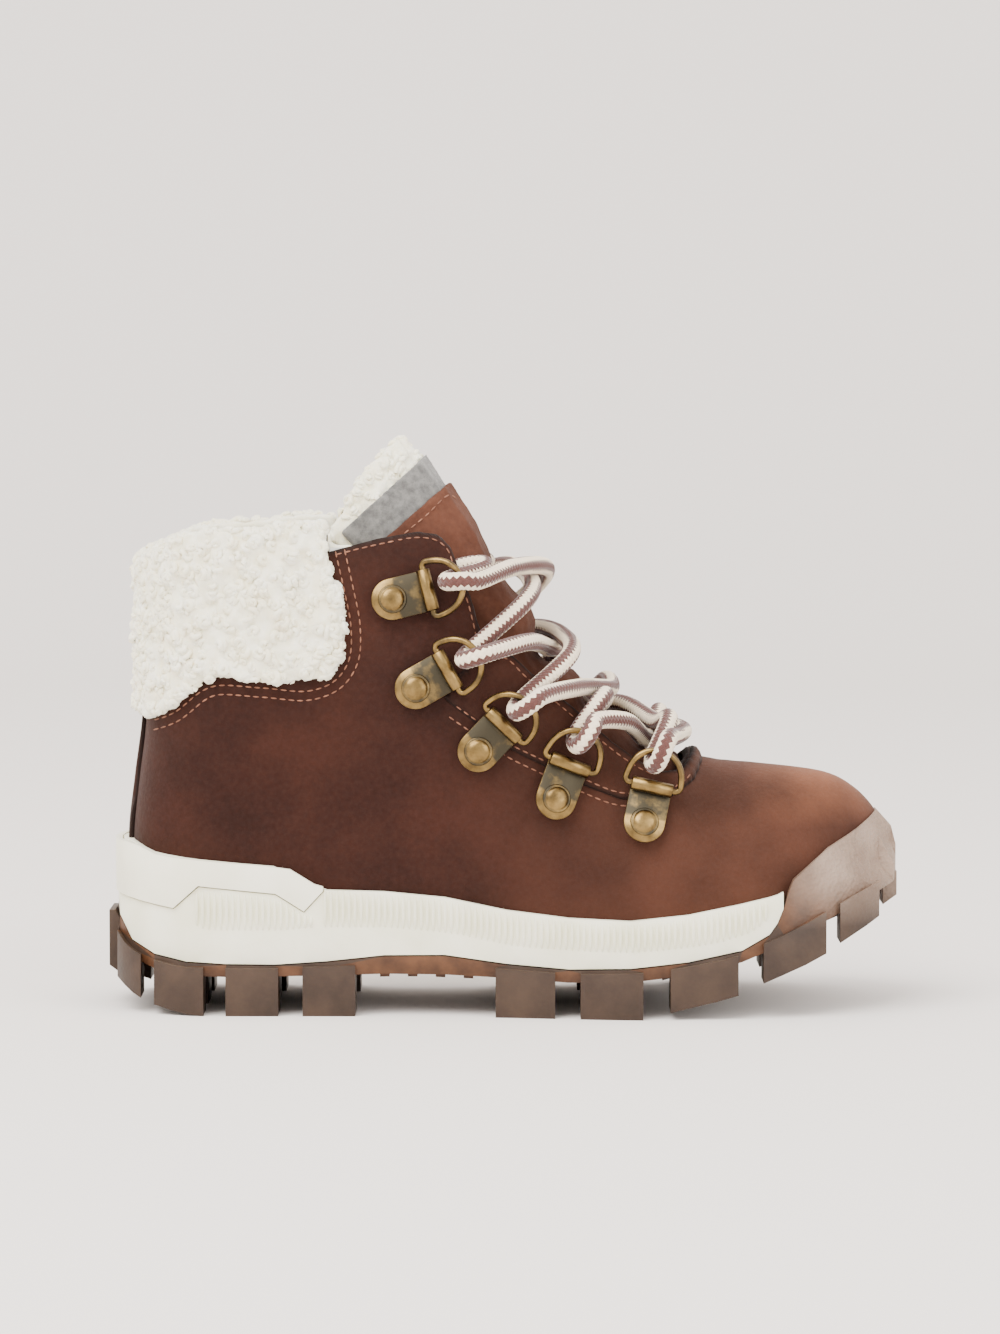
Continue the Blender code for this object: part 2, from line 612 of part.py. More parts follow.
def shank_block(name, grow):
    xs = [x * MM * SX for x in (-52, -40, -25, -10, 5, 16)]
    xs[0] -= grow
    xs[-1] += grow
    half = SHANK_WIDTH / 2 + grow
    top = cup if grow == 0 else raised(cup, 0.001)
    return box_between(name, xs, lambda x: (middle(-0.02) - half, middle(-0.02) + half),
                       raised(cup, -GAP - SHANK_THICK - grow - GAP),
                       raised(top, -GAP - GAP) if grow == 0 else top)


def make_midsole():
    end = TIP * MM * SX
    xs = [x for x in SOLE_XS if x <= end + 1e-9]
    midsole = sole_block("midsole", raised(sole_line, GAP), midsole_top, LUG_PROUD, xs)
    combine(midsole, form("cup", GAP, 2 * GAP), "DIFFERENCE")
    wrap = prism("wrap", grown(STABILISER_SIDE, GAP / MM))
    inner_xs = sole_stations(LUG_PROUD + STABILISER - STABILISER_PROUD + GAP, end, 20)
    inner = sole_block("inner", lambda x: 0.0, lambda x: 80 * MM * SZ,
                       LUG_PROUD + STABILISER - STABILISER_PROUD + GAP, inner_xs, rows=1)
    combine(wrap, inner, "DIFFERENCE")
    combine(midsole, wrap, "DIFFERENCE")
    combine(midsole, shank_block("pocket", GAP), "DIFFERENCE")
    tidy(midsole)
    return finish(midsole, "foam")


def make_stabiliser():
    outer_inset = LUG_PROUD - STABILISER_PROUD
    xs = sole_stations(outer_inset, -20 * MM * SX, 20)
    piece = sole_block("heel_stabiliser", lambda x: 20 * MM * SZ, midsole_top, outer_inset, xs, rows=2)
    inner_xs = sole_stations(outer_inset + STABILISER, 10 * MM * SX, 20)
    inner = sole_block("inner", lambda x: 0.0, lambda x: 80 * MM * SZ, outer_inset + STABILISER, inner_xs,
                       rows=1)
    combine(piece, inner, "DIFFERENCE")
    combine(piece, prism("wrap", STABILISER_SIDE), "INTERSECT")
    combine(piece, form("cup", GAP, 2 * GAP), "DIFFERENCE")
    tidy(piece)
    return finish(piece, "plastic")


# ---- insole -------------------------------------------------------------------------------------
def make_insole():
    base = BOARD + GAP
    slabs = [("insole_board", MID_OUT - 2 * GAP, 0.0, BOARD, "board"),
             ("footbed", LINING_IN - 3 * GAP, base, FOOTBED, "foam"),
             ("footbed_cover", LINING_IN - 3 * GAP, base + FOOTBED + GAP, FOOTBED_PILE, "pile")]
    for name, offset, lift, thick, kind in slabs:
        slab = form(name, offset, roof=thick, lift=lift, rows=2)
        finish(slab, kind)


# ---- upper --------------------------------------------------------------------------------------
HOLE_SIDES = 8


def rivet_holes(radius, low, high):
    """Cutters, one round bar through every rivet position."""
    holes = []
    for side in SIDES.values():
        for number in range(len(HOOKS)):
            bar = turned("hole", [(0, low), (radius, low), (radius, high), (0, high)], HOLE_SIDES)
            bar.matrix_world = hook_frame(number, side) @ Matrix.Translation((PLATE_REACH, 0, 0))
            holes.append(bar)
    return holes


def drill(obj, radius, low=-0.011, high=0.003):
    for bar in rivet_holes(radius, low, high):
        combine(obj, bar, "DIFFERENCE")


def turned(name, profile, sides=12):
    """Solid of revolution about Z from (radius, height) pairs."""
    verts = []
    for k in range(sides):
        angle = 2 * math.pi * k / sides
        verts += [Vector((r * math.cos(angle), r * math.sin(angle), h)) for r, h in profile]
    count = len(profile)
    faces = []
    for k in range(sides):
        a = k * count
        b = (k + 1) % sides * count
        for j in range(count - 1):
            faces.append((a + j, b + j, b + j + 1, a + j + 1))
    return closed_mesh(name, verts, faces)


def make_upper():
    upper = layer("leather_upper", 0.0, -LEATHER)
    combine(upper, prism("throat", ABOVE_LEATHER), "DIFFERENCE")
    combine(upper, prism("collar", grown(ABOVE_COLLAR, 0.15)), "DIFFERENCE")
    drill(upper, RIVET_SHANK / 2 + RIVET_PLAY)
    tidy(upper)
    finish(upper, "nubuck")

    facing = layer("throat_facing", GAP + OVERLAY, GAP)
    combine(facing, prism("panel", FACING), "INTERSECT")
    drill(facing, RIVET_SHANK / 2 + RIVET_PLAY)
    tidy(facing)
    finish(facing, "nubuck")

    backstay = layer("backstay", GAP + OVERLAY, GAP)
    combine(backstay, prism("panel", [(-104, 42.9), (-60, 42.9), (-60, 71.6), (-104, 71.6)], 0.0048 * SY),
            "INTERSECT")
    tidy(backstay)
    finish(backstay, "nubuck")


def make_collar():
    cuff = layer("collar_cuff", CUFF_PROUD, CUFF_INNER)
    combine(cuff, prism("panel", grown(COLLAR, -0.15)), "INTERSECT")
    tidy(cuff)
    finish(cuff, "pile")
    foam = layer("collar_foam", MID_OUT, MID_IN)
    inside = [(x, z - 2.0) for x, z in COLLAR_TOP]
    combine(foam, prism("panel", grown(COLLAR_EDGE + inside, -0.15)), "INTERSECT")
    tidy(foam)
    finish(foam, "foam")


def make_mid_layer():
    base = BOARD + GAP
    below_collar = grown(ABOVE_COLLAR, 0.3)
    counter = layer("heel_counter", MID_OUT, MID_IN, base)
    combine(counter, prism("panel", [(-104, 10), (-50.15, 10), (-50.15, 71), (-104, 71)]), "INTERSECT")
    tidy(counter)
    finish(counter, "board")
    puff = layer("toe_puff", MID_OUT, MID_IN, base)
    combine(puff, prism("panel", [(64.3, 10), (104, 10), (104, 90), (64.3, 90)]), "INTERSECT")
    tidy(puff)
    finish(puff, "board")
    for label, side in SIDES.items():
        wadding = layer("insulation_" + label, MID_OUT, MID_IN, base)
        combine(wadding, prism("panel", [(-49.85, 10), (64.0, 10), (64.0, 120), (-49.85, 120)], 0.04 * SY,
                               side * 0.0404 * SY + middle(0.06)), "INTERSECT")
        combine(wadding, prism("throat", [(x, z - 0.6) for x, z in ABOVE_LINING]), "DIFFERENCE")
        combine(wadding, prism("collar", below_collar), "DIFFERENCE")
        drill(wadding, RIVET_TAIL / 2 + 2 * RIVET_PLAY)
        tidy(wadding)
        finish(wadding, "wadding")
    lining = layer("lining", LINING_OUT, LINING_IN, base)
    combine(lining, prism("throat", ABOVE_LINING), "DIFFERENCE")
    tidy(lining)
    finish(lining, "pile")


# ---- tongue -------------------------------------------------------------------------------------
def make_tongue():
    felt = -TONGUE_LEATHER - GAP
    pile = felt - TONGUE_FELT - GAP
    skins = [("tongue_leather", 0.0, TONGUE_LEATHER, LEATHER_TONGUE, "tongue"),
             ("tongue_felt", felt, TONGUE_FELT, FELT_TONGUE, "felt"),
             ("tongue_pile", pile, TONGUE_PILE, PILE_TONGUE, "pile")]
    for name, outer, thick, outline, kind in skins:
        skin = layer(name, outer, outer - thick, shape=TONGUE, count=12)
        combine(skin, prism("panel", outline), "INTERSECT")
        tidy(skin)
        finish(skin, kind)
    for label, side in SIDES.items():
        fold = layer("gusset_" + label, GAP + GUSSET, GAP, shape=TONGUE, count=12)
        combine(fold, prism("panel", GUSSET_BAND, 0.03, side * 0.036), "INTERSECT")
        tidy(fold)
        finish(fold, "tongue")


# ---- lace hooks ---------------------------------------------------------------------------------
def hook_plate_mesh():
    """Strip folded round the wire: its flat runs to the rivet, its end curls back onto itself."""
    end = PLATE_REACH + PLATE_WIDTH / 2
    steps = 5
    angles = [math.radians(-90 - 290 * k / steps) for k in range(steps + 1)]
    outline = [(end, -BARREL), (PLATE_REACH / 2, -BARREL)]
    outline += [(BARREL * math.cos(a), BARREL * math.sin(a)) for a in angles]
    outline += [(BORE * math.cos(a), BORE * math.sin(a)) for a in reversed(angles)]
    outline += [(PLATE_REACH / 2, -BORE), (end, -BORE)]
    count = len(outline)
    half = PLATE_WIDTH / 2
    verts = [Vector((a, -half, h)) for a, h in outline] + [Vector((a, half, h)) for a, h in outline]
    faces = [tuple(range(count)), tuple(reversed(range(count, 2 * count)))]
    faces += [(k, (k + 1) % count, (k + 1) % count + count, k + count) for k in range(count)]
    plate = mesh_object("plate", verts, faces)
    rim = [(-2 * BARREL, -half - GAP), (PLATE_REACH, -half - GAP)]
    rim += [(PLATE_REACH + half * math.cos(t), half * math.sin(t)) for t in np.linspace(-1.2, 1.2, 6)]
    rim += [(PLATE_REACH, half + GAP), (-2 * BARREL, half + GAP)]
    n = len(rim)
    verts = [Vector((a, b, -0.004)) for a, b in rim] + [Vector((a, b, 0.004)) for a, b in rim]
    faces = [tuple(range(n)), tuple(reversed(range(n, 2 * n)))]
    faces += [(k, (k + 1) % n, (k + 1) % n + n, k + n) for k in range(n)]
    combine(plate, mesh_object("rim", verts, faces), "INTERSECT")
    bore = RIVET_SHANK / 2 + RIVET_PLAY
    hole = turned("hole", [(0, -0.003), (bore, -0.003), (bore, 0.003), (0, 0.003)], HOLE_SIDES)
    hole.matrix_world = Matrix.Translation((PLATE_REACH, 0, 0))
    combine(plate, hole, "DIFFERENCE")
    tidy(plate)
    mesh = plate.data
    bpy.data.objects.remove(plate, do_unlink=True)
    return mesh


def sweep(name, path, radius, sides, closed=False, normal=None):
    """Round tube along a path; normal fixes the roll of a flat closed path."""
    count = len(path)
    verts = []
    roll = normal
    for k in range(count):
        before = path[k - 1] if closed or k > 0 else path[k]
        after = path[(k + 1) % count] if closed or k < count - 1 else path[k]
        tangent = (after - before).normalized()
        if roll is None:
            roll = tangent.orthogonal()
        roll = (roll - tangent * roll.dot(tangent)).normalized()
        other = tangent.cross(roll)
        for j in range(sides):
            angle = 2 * math.pi * j / sides
            verts.append(path[k] + roll * (radius * math.cos(angle)) + other * (radius * math.sin(angle)))
    faces = []
    for k in range(count if closed else count - 1):
        a = k * sides
        b = (k + 1) % count * sides
        for j in range(sides):
            faces.append((a + j, a + (j + 1) % sides, b + (j + 1) % sides, b + j))
    if not closed:
        faces.append(tuple(reversed(range(sides))))
        faces.append(tuple(range((count - 1) * sides, count * sides)))
    return mesh_object(name, verts, faces)


def ring_direction():
    """In the hook's frame: unit vectors from the barrel to the far wire, and out of the ring's plane."""
    towards = Vector((-math.cos(RING_LIFT), 0, math.sin(RING_LIFT)))
    outward = Vector((math.sin(RING_LIFT), 0, math.cos(RING_LIFT)))
    return towards, outward


def d_ring_mesh():
    towards, outward = ring_direction()
    corner = 0.0013
    flat = [(0.0, -RING_HALF_WIDTH + corner), (0.0, RING_HALF_WIDTH - corner),
            (0.3 * corner, RING_HALF_WIDTH - 0.3 * corner), (corner, RING_HALF_WIDTH)]
    for k in range(1, 9):
        angle = math.pi * k / 9
        flat.append((RING_DEPTH * math.sin(angle) ** 0.75, RING_HALF_WIDTH * math.cos(angle)))
    flat += [(corner, -RING_HALF_WIDTH), (0.3 * corner, -RING_HALF_WIDTH + 0.3 * corner)]
    path = [towards * depth + Vector((0, across, 0)) for depth, across in flat]
    ring = sweep("ring", path, RING_WIRE / 2, 6, closed=True, normal=outward)
    mesh = ring.data
    bpy.data.objects.remove(ring, do_unlink=True)
    return mesh


def make_hooks():
    plate_mesh = hook_plate_mesh()
    ring_mesh = d_ring_mesh()
    for label, side in SIDES.items():
        for number in range(len(HOOKS)):
            frame = hook_frame(number, side)
            for kind, mesh in (("hook_plate", plate_mesh), ("d_ring", ring_mesh)):
                piece = bpy.data.objects.new(f"{kind}_{label}_{number + 1}", mesh.copy())
                bpy.context.scene.collection.objects.link(piece)
                piece.matrix_world = frame
                finish(piece, "brass")
            seat = frame @ Vector((PLATE_REACH, 0, -BARREL))
            rim = [seat + (frame.to_3x3() @ Vector((math.cos(a), math.sin(a), 0))) * (RIVET_TAIL / 2)
                   for a in np.linspace(0, 2 * math.pi, 9)]
            top = -BORE + GAP / 2
            tail = -BARREL - max(height_over(point, side, -LEATHER) for point in rim) - 3 * GAP
            profile = [(0, top + RIVET_DOME), (0.5 * RIVET_HEAD / 2, top + 0.86 * RIVET_DOME),
                       (0.86 * RIVET_HEAD / 2, top + 0.42 * RIVET_DOME), (RIVET_HEAD / 2, top),
                       (RIVET_SHANK / 2, top), (RIVET_SHANK / 2, tail), (RIVET_TAIL / 2, tail),
                       (RIVET_TAIL / 2, tail - 0.0006), (0, tail - 0.0006)]
            rivet = turned(f"rivet_{label}_{number + 1}", profile, 10)
            rivet.matrix_world = frame @ Matrix.Translation((PLATE_REACH, 0, 0))
            finish(rivet, "brass")


# ---- lace ---------------------------------------------------------------------------------------
CROSSINGS = [((12.4, 112.0), (0.82, 0.57)), ((17.3, 94.3), (0.82, 0.57)), ((28.4, 81.9), (0.60, 0.80)),
             ((40.0, 73.4), (0.50, 0.87))]
BOTTOM_BAR = (45.6, 71.4)
TAIL_ROUTE = [(-4.6, 111.2, 0.5), (-5.6, 112.2, 5.5), (-13.5, 110.6, 5.6), (-25.5, 102.5, 9.2),
              (-36.0, 91.0, 9.6), (-46.0, 78.0, 9.6), (-54.0, 64.0, 9.6)]    # x, z, how far inside
TURN = RING_WIRE / 2 + LACE / 2 + LACE_PLAY
SPLAY = 0.0012              # the two strands of a ring spread this far along the wire


def ring_wire(number, side):
    """Middle of a ring's far wire, and the directions the lace turns in: along the ring, out of it."""
    frame = hook_frame(number, side)
    towards, outward = ring_direction()
    turn = frame.to_3x3()
    return frame @ (towards * RING_DEPTH), turn @ towards, turn @ outward, turn @ Vector((0, 1, 0))


def ring_turn(number, side, under, over):
    """Points of the lace round a ring's wire, coming in from under and leaving over the top."""
    wire, towards, outward, along = ring_wire(number, side)

    def tangent(target, sign):
        a = (target - wire).dot(towards)
        b = (target - wire).dot(outward)
        return math.atan2(b, a) + sign * math.acos(min(TURN / math.hypot(a, b), 1.0))
    start = tangent(under, -1.0)
    end = tangent(over, 1.0) - 2 * math.pi
    rise = 1.0 if (under - over).dot(along) > 0 else -1.0
    steps = max(4, round((start - end) / math.radians(42)))
    points = []
    for k in range(steps + 1):
        angle = start + (end - start) * k / steps
        spread = along * (rise * SPLAY * (1 - 2 * k / steps))
        points.append(wire + (towards * math.cos(angle) + outward * math.sin(angle)) * TURN + spread)
    return points


def crossing_point(number, over):
    (x, z), (nx, nz) = CROSSINGS[number]
    depth = LACE / 2 if over else 1.5 * LACE + GAP
    place = Vector((x * MM * SX - nx * depth, 0, z * MM * SZ - nz * depth))
    place.y = middle(place.x)
    return place


def clear_of_upper(point, side):
    """Push a lace knot straight out until it clears the facing."""
    short = OVERLAY + 2 * GAP + LACE / 2 + GAP - height_over(point, side)
    if short > 0:
        point = point + normal_of(point.x, point.z, side) * short
    return point


def tail_knots(side):
    """The end tucked in beside the tongue and down the lining, from the throat inwards."""
    knots = []
    for x_mm, z_mm, inset in TAIL_ROUTE:
        x = x_mm * MM * SX
        z = z_mm * MM * SZ
        y = half_width(x, z, 0.0) - inset * MM
        knots.append(Vector((x, middle(x) + side * y, z)))
    return knots


def half_route(side):
    """Knots from one tail, down the hooks side by side with its crossings, to the last hook."""
    last = len(HOOKS) - 1
    bar_x, bar_z = BOTTOM_BAR
    bar = Vector((bar_x * MM * SX, middle(bar_x * MM * SX), bar_z * MM * SZ - LACE / 2))
    tail = tail_knots(side)
    knots = list(reversed(tail))
    under = tail[0]
    for number in range(last + 1):
        wire = ring_wire(number, side)[0]
        if number == last:
            target = clear_of_upper(wire.lerp(bar, 0.4), side)
            knots += ring_turn(number, side, under, target) + [target]
            break
        centre = crossing_point(number, over=(side < 0) == (number % 2 == 0))
        target = clear_of_upper(wire.lerp(centre, 0.5), side)
        knots += ring_turn(number, side, under, target) + [target, centre]
        side = -side
        following = ring_wire(number + 1, side)[0]
        under = clear_of_upper(following.lerp(centre, 0.5) - ring_wire(number + 1, side)[2] * TURN, side)
        knots.append(under)
    return knots, bar


def lace_route():
    """Knots of one unbroken lace: tail, down the hooks, across the bottom, up again, other tail."""
    first, bar = half_route(-1.0)
    second, bar = half_route(1.0)
    return first + [bar] + list(reversed(second))


def smooth_path(route, spacing):
    """Centripetal Catmull-Rom through the knots, read closer together where it bends."""
    knots = [2 * route[0] - route[1]] + route + [2 * route[-1] - route[-2]]
    path = []
    for p0, p1, p2, p3 in zip(knots, knots[1:], knots[2:], knots[3:]):
        t1 = math.sqrt((p1 - p0).length)
        t2 = t1 + math.sqrt((p2 - p1).length)
        t3 = t2 + math.sqrt((p3 - p2).length)
        pieces = max(1, round((p2 - p1).length / spacing))
        for k in range(pieces):
            t = t1 + (t2 - t1) * k / pieces
            a1 = p0 * ((t1 - t) / t1) + p1 * (t / t1)
            a2 = p1 * ((t2 - t) / (t2 - t1)) + p2 * ((t - t1) / (t2 - t1))
            a3 = p2 * ((t3 - t) / (t3 - t2)) + p3 * ((t - t2) / (t3 - t2))
            b1 = a1 * ((t2 - t) / t2) + a2 * (t / t2)
            b2 = a2 * ((t3 - t) / (t3 - t1)) + a3 * ((t - t1) / (t3 - t1))
            path.append(b1 * ((t2 - t) / (t2 - t1)) + b2 * ((t - t1) / (t2 - t1)))
    path.append(route[-1].copy())
    return path


def make_lace():
    path = smooth_path(lace_route(), 2.6 * LACE)
    finish(sweep("lace", path, LACE / 2, 8), "lace")
    for label, end, before in (("lateral", path[0], path[1]), ("medial", path[-1], path[-2])):
        direction = (end - before).normalized()
        start = end + direction * GAP
        tip = turned("aglet_" + label, [(0, 0), (AGLET / 2, 0), (AGLET / 2, AGLET_LENGTH),
                                        (0, AGLET_LENGTH)], 10)
        turn = direction.to_track_quat("Z", "Y").to_matrix().to_4x4()
        tip.matrix_world = Matrix.Translation(start) @ turn
        finish(tip, "aglet")


make_outsole()
make_midsole()
make_stabiliser()
finish(shank_block("shank", 0.0), "steel")
make_insole()
make_upper()
make_collar()
make_mid_layer()
make_tongue()
make_hooks()
make_lace()
bpy.context.view_layer.update()
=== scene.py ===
import json
import math
import bmesh
import bpy
import numpy as np
from mathutils import Matrix, Vector
from mathutils.bvhtree import BVHTree


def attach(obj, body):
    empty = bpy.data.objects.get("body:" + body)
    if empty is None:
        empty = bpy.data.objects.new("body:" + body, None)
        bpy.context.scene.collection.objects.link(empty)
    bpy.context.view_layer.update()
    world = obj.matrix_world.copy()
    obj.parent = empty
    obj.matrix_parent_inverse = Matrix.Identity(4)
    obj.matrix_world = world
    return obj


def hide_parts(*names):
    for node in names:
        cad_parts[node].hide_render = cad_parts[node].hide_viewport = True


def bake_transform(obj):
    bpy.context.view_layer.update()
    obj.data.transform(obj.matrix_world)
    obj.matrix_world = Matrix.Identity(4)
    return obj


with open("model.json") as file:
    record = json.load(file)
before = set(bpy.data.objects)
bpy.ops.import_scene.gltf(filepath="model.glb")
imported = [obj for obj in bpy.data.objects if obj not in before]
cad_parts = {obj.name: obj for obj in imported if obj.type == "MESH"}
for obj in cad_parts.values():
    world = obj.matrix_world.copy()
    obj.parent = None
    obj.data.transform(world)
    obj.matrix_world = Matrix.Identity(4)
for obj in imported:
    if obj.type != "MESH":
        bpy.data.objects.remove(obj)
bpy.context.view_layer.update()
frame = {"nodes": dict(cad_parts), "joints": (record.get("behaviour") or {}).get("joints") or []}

MM = 0.001


# ---- camera, ground and light -------------------------------------------------------------------
# The boot stands on a pale sweep, lit by one wide soft light from above and left and a weak fill.
camera_data = bpy.data.cameras.new("camera")
camera_data.lens = 135
camera_data.sensor_width = 36
camera = bpy.data.objects.new("camera", camera_data)
bpy.context.scene.collection.objects.link(camera)
bpy.context.scene.camera = camera
DISTANCE = 1.243
LOOK_DOWN = math.radians(3.6)
AIM = Vector((-0.0009, -0.030, 0.0871))
camera.location = AIM + DISTANCE * Vector((0, -math.cos(LOOK_DOWN), math.sin(LOOK_DOWN)))
camera.rotation_euler = (math.pi / 2 - LOOK_DOWN, 0, 0)


def tone(red, green, blue):
    """Linear colour from the usual 0 to 255 screen values."""
    parts = []
    for value in (red, green, blue):
        value /= 255
        parts.append(value / 12.92 if value <= 0.04045 else ((value + 0.055) / 1.055) ** 2.4)
    return (*parts, 1.0)


def plain_material(name, colour, rough=0.5):
    """A new material, its node tree and its shader."""
    material = bpy.data.materials.new(name)
    material.use_nodes = True
    tree = material.node_tree
    shader = tree.nodes["Principled BSDF"]
    shader.inputs["Base Color"].default_value = colour
    shader.inputs["Roughness"].default_value = rough
    material.diffuse_color = colour
    return material, tree, shader


def mesh_piece(name, verts, faces, material, smooth=True):
    """A new object from points and faces, with one material."""
    mesh = bpy.data.meshes.new(name)
    mesh.from_pydata([tuple(v) for v in verts], [], faces)
    mesh.validate()
    mesh.materials.append(material)
    if smooth:
        mesh.shade_smooth()
    piece = bpy.data.objects.new(name, mesh)
    bpy.context.scene.collection.objects.link(piece)
    return piece


def area_light(name, place, aim, size, power, colour):
    """A wide soft light at place, turned to aim."""
    data = bpy.data.lights.new(name, "AREA")
    data.shape = "RECTANGLE"
    data.size = size[0]
    data.size_y = size[1]
    data.energy = power
    data.color = colour
    light = bpy.data.objects.new(name, data)
    light.location = place
    light.rotation_euler = (Vector(aim) - Vector(place)).to_track_quat("-Z", "Y").to_euler()
    bpy.context.scene.collection.objects.link(light)


area_light("key", (-0.7, -0.9, 1.5), (0, 0, 0.05), (1.4, 1.4), 62, (1.0, 0.97, 0.93))
area_light("fill", (1.3, -1.2, 0.7), (0, 0, 0.07), (1.2, 1.2), 20, (1.0, 0.98, 0.96))
world = bpy.data.worlds.new("studio")
world.use_nodes = True
world.node_tree.nodes["Background"].inputs["Color"].default_value = (0.965, 0.92, 0.885, 1)
world.node_tree.nodes["Background"].inputs["Strength"].default_value = 2.25
bpy.context.scene.world = world

sweep_side = [(y, 0.0) for y in np.linspace(-3.0, 1.2, 12)]
sweep_side += [(1.2 + 0.9 * math.sin(a), 0.9 - 0.9 * math.cos(a)) for a in np.linspace(0.1, math.pi / 2, 16)]
sweep_side += [(2.1, z) for z in np.linspace(1.2, 3.0, 5)]
sweep_verts = [(x, y, z) for x in (-3.0, 3.0) for y, z in sweep_side]
sweep_count = len(sweep_side)
sweep_faces = [(k, k + sweep_count, k + sweep_count + 1, k + 1) for k in range(sweep_count - 1)]
paper = plain_material("paper", tone(231, 226, 222), 0.9)[0]
ground = mesh_piece("ground", sweep_verts, sweep_faces, paper)


# ---- lace ---------------------------------------------------------------------------------------
# A round lace braided from brown and cream yarn. One length runs from inside the shaft through
# all ten rings and back inside, and its two tipped ends lie against the lining.
LACE_KNOTS = [
    (-54.0, -19.3, 64.0), (-46.0, -20.9, 78.0), (-36.0, -21.3, 91.0), (-25.5, -20.5, 102.5),
    (-13.5, -19.6, 110.6), (-5.6, -15.5, 112.2), (-4.6, -20.4, 111.2), (-13.4, -32.3, 109.0),
    (-14.1, -35.1, 108.6), (-12.5, -37.6, 108.7), (-9.7, -38.2, 108.9), (-7.2, -36.7, 108.7),
    (2.4, -21.3, 111.5), (10.6, -2.9, 110.7), (7.1, 16.3, 104.0), (-8.5, 29.6, 90.9),
    (-9.6, 31.6, 89.8), (-9.2, 34.0, 89.4), (-7.5, 35.8, 89.8), (-5.2, 36.2, 90.6),
    (-3.1, 34.9, 91.2), (8.1, 20.7, 94.2), (15.5, -2.8, 93.0), (16.4, -20.9, 89.3),
    (3.4, -34.9, 78.0), (2.9, -37.1, 76.7), (3.6, -39.6, 76.6), (5.4, -41.1, 77.7),
    (7.5, -41.0, 79.2), (9.1, -39.2, 80.3), (18.7, -23.5, 81.5), (27.0, -2.4, 80.1),
    (25.6, 14.8, 80.7), (17.7, 25.5, 69.6), (17.9, 27.7, 68.1), (18.8, 30.2, 68.2),
    (20.2, 31.7, 70.0), (21.6, 31.3, 72.2), (22.5, 29.3, 73.8), (30.7, 17.8, 74.7),
    (38.9, -1.3, 71.4), (41.6, -15.8, 73.1), (37.1, -29.9, 63.7), (37.5, -32.4, 62.9),
    (38.4, -34.8, 64.0), (39.4, -35.6, 66.4), (40.4, -34.5, 68.6), (41.0, -32.0, 69.5),
    (42.9, -20.4, 69.1), (45.6, -0.3, 69.2), (41.8, 18.7, 69.4), (39.4, 29.4, 69.8),
    (38.4, 31.9, 69.0), (37.4, 32.9, 66.6), (36.6, 31.9, 64.1), (36.4, 29.4, 62.9),
    (36.4, 26.7, 63.8), (40.0, 15.7, 72.8), (36.5, -1.6, 67.3), (30.2, -23.7, 73.2),
    (22.7, -34.3, 73.8), (22.0, -36.6, 72.4), (20.6, -37.2, 70.1), (19.1, -35.8, 68.3),
    (18.0, -33.2, 68.0), (17.8, -31.0, 69.7), (24.9, -21.7, 79.1), (24.2, -2.5, 76.3),
    (18.2, 19.2, 79.7), (9.6, 33.1, 80.2), (8.1, 35.0, 79.1), (6.0, 35.3, 77.6),
    (4.1, 33.7, 76.5), (3.3, 31.1, 76.7), (3.8, 29.0, 78.2), (15.1, 17.8, 88.6),
    (11.5, -2.9, 90.3), (5.9, -28.1, 93.2), (-3.4, -39.7, 91.3), (-5.6, -41.0, 90.7),
    (-8.0, -40.6, 89.9), (-9.6, -38.7, 89.4), (-9.8, -36.1, 89.8), (-8.6, -34.2, 91.0),
    (5.5, -24.0, 103.3), (6.6, -2.9, 108.0), (1.4, 17.4, 110.5), (-6.7, 31.7, 108.6),
    (-9.1, 33.4, 108.8), (-12.0, 32.8, 108.6), (-13.7, 30.4, 108.5), (-13.1, 27.6, 109.0),
    (-4.6, 15.4, 111.2), (-5.6, 10.5, 112.2), (-13.5, 15.2, 110.6), (-25.5, 16.9, 102.5),
    (-36.0, 19.0, 91.0), (-46.0, 19.6, 78.0), (-54.0, 18.4, 64.0),
]
LACE = 0.0045
CARRIERS = 16               # yarn bundles that wind each way
LAY_LENGTH = 0.0105         # length of braid for one full turn of a bundle


def smooth_line(knots, spacing):
    """Even points on a centripetal Catmull-Rom curve through the knots."""
    knots = [np.array(k, float) for k in knots]
    knots = [2 * knots[0] - knots[1]] + knots + [2 * knots[-1] - knots[-2]]
    dense = []
    for p0, p1, p2, p3 in zip(knots, knots[1:], knots[2:], knots[3:]):
        t1 = np.linalg.norm(p1 - p0) ** 0.5
        t2 = t1 + np.linalg.norm(p2 - p1) ** 0.5
        t3 = t2 + np.linalg.norm(p3 - p2) ** 0.5
        t = np.linspace(t1, t2, 24, endpoint=False)[:, None]
        a1 = p0 * ((t1 - t) / t1) + p1 * (t / t1)
        a2 = p1 * ((t2 - t) / (t2 - t1)) + p2 * ((t - t1) / (t2 - t1))
        a3 = p2 * ((t3 - t) / (t3 - t2)) + p3 * ((t - t2) / (t3 - t2))
        b1 = a1 * ((t2 - t) / t2) + a2 * (t / t2)
        b2 = a2 * ((t3 - t) / (t3 - t1)) + a3 * ((t - t1) / (t3 - t1))
        dense.append(b1 * ((t2 - t) / (t2 - t1)) + b2 * ((t - t1) / (t2 - t1)))
    dense = np.vstack(dense + [knots[-2][None]])
    run = np.concatenate([[0], np.cumsum(np.linalg.norm(np.diff(dense, axis=0), axis=1))])
    even = np.linspace(0, run[-1], max(2, round(run[-1] / spacing) + 1))
    return np.stack([np.interp(even, run, dense[:, k]) for k in range(3)], 1), even


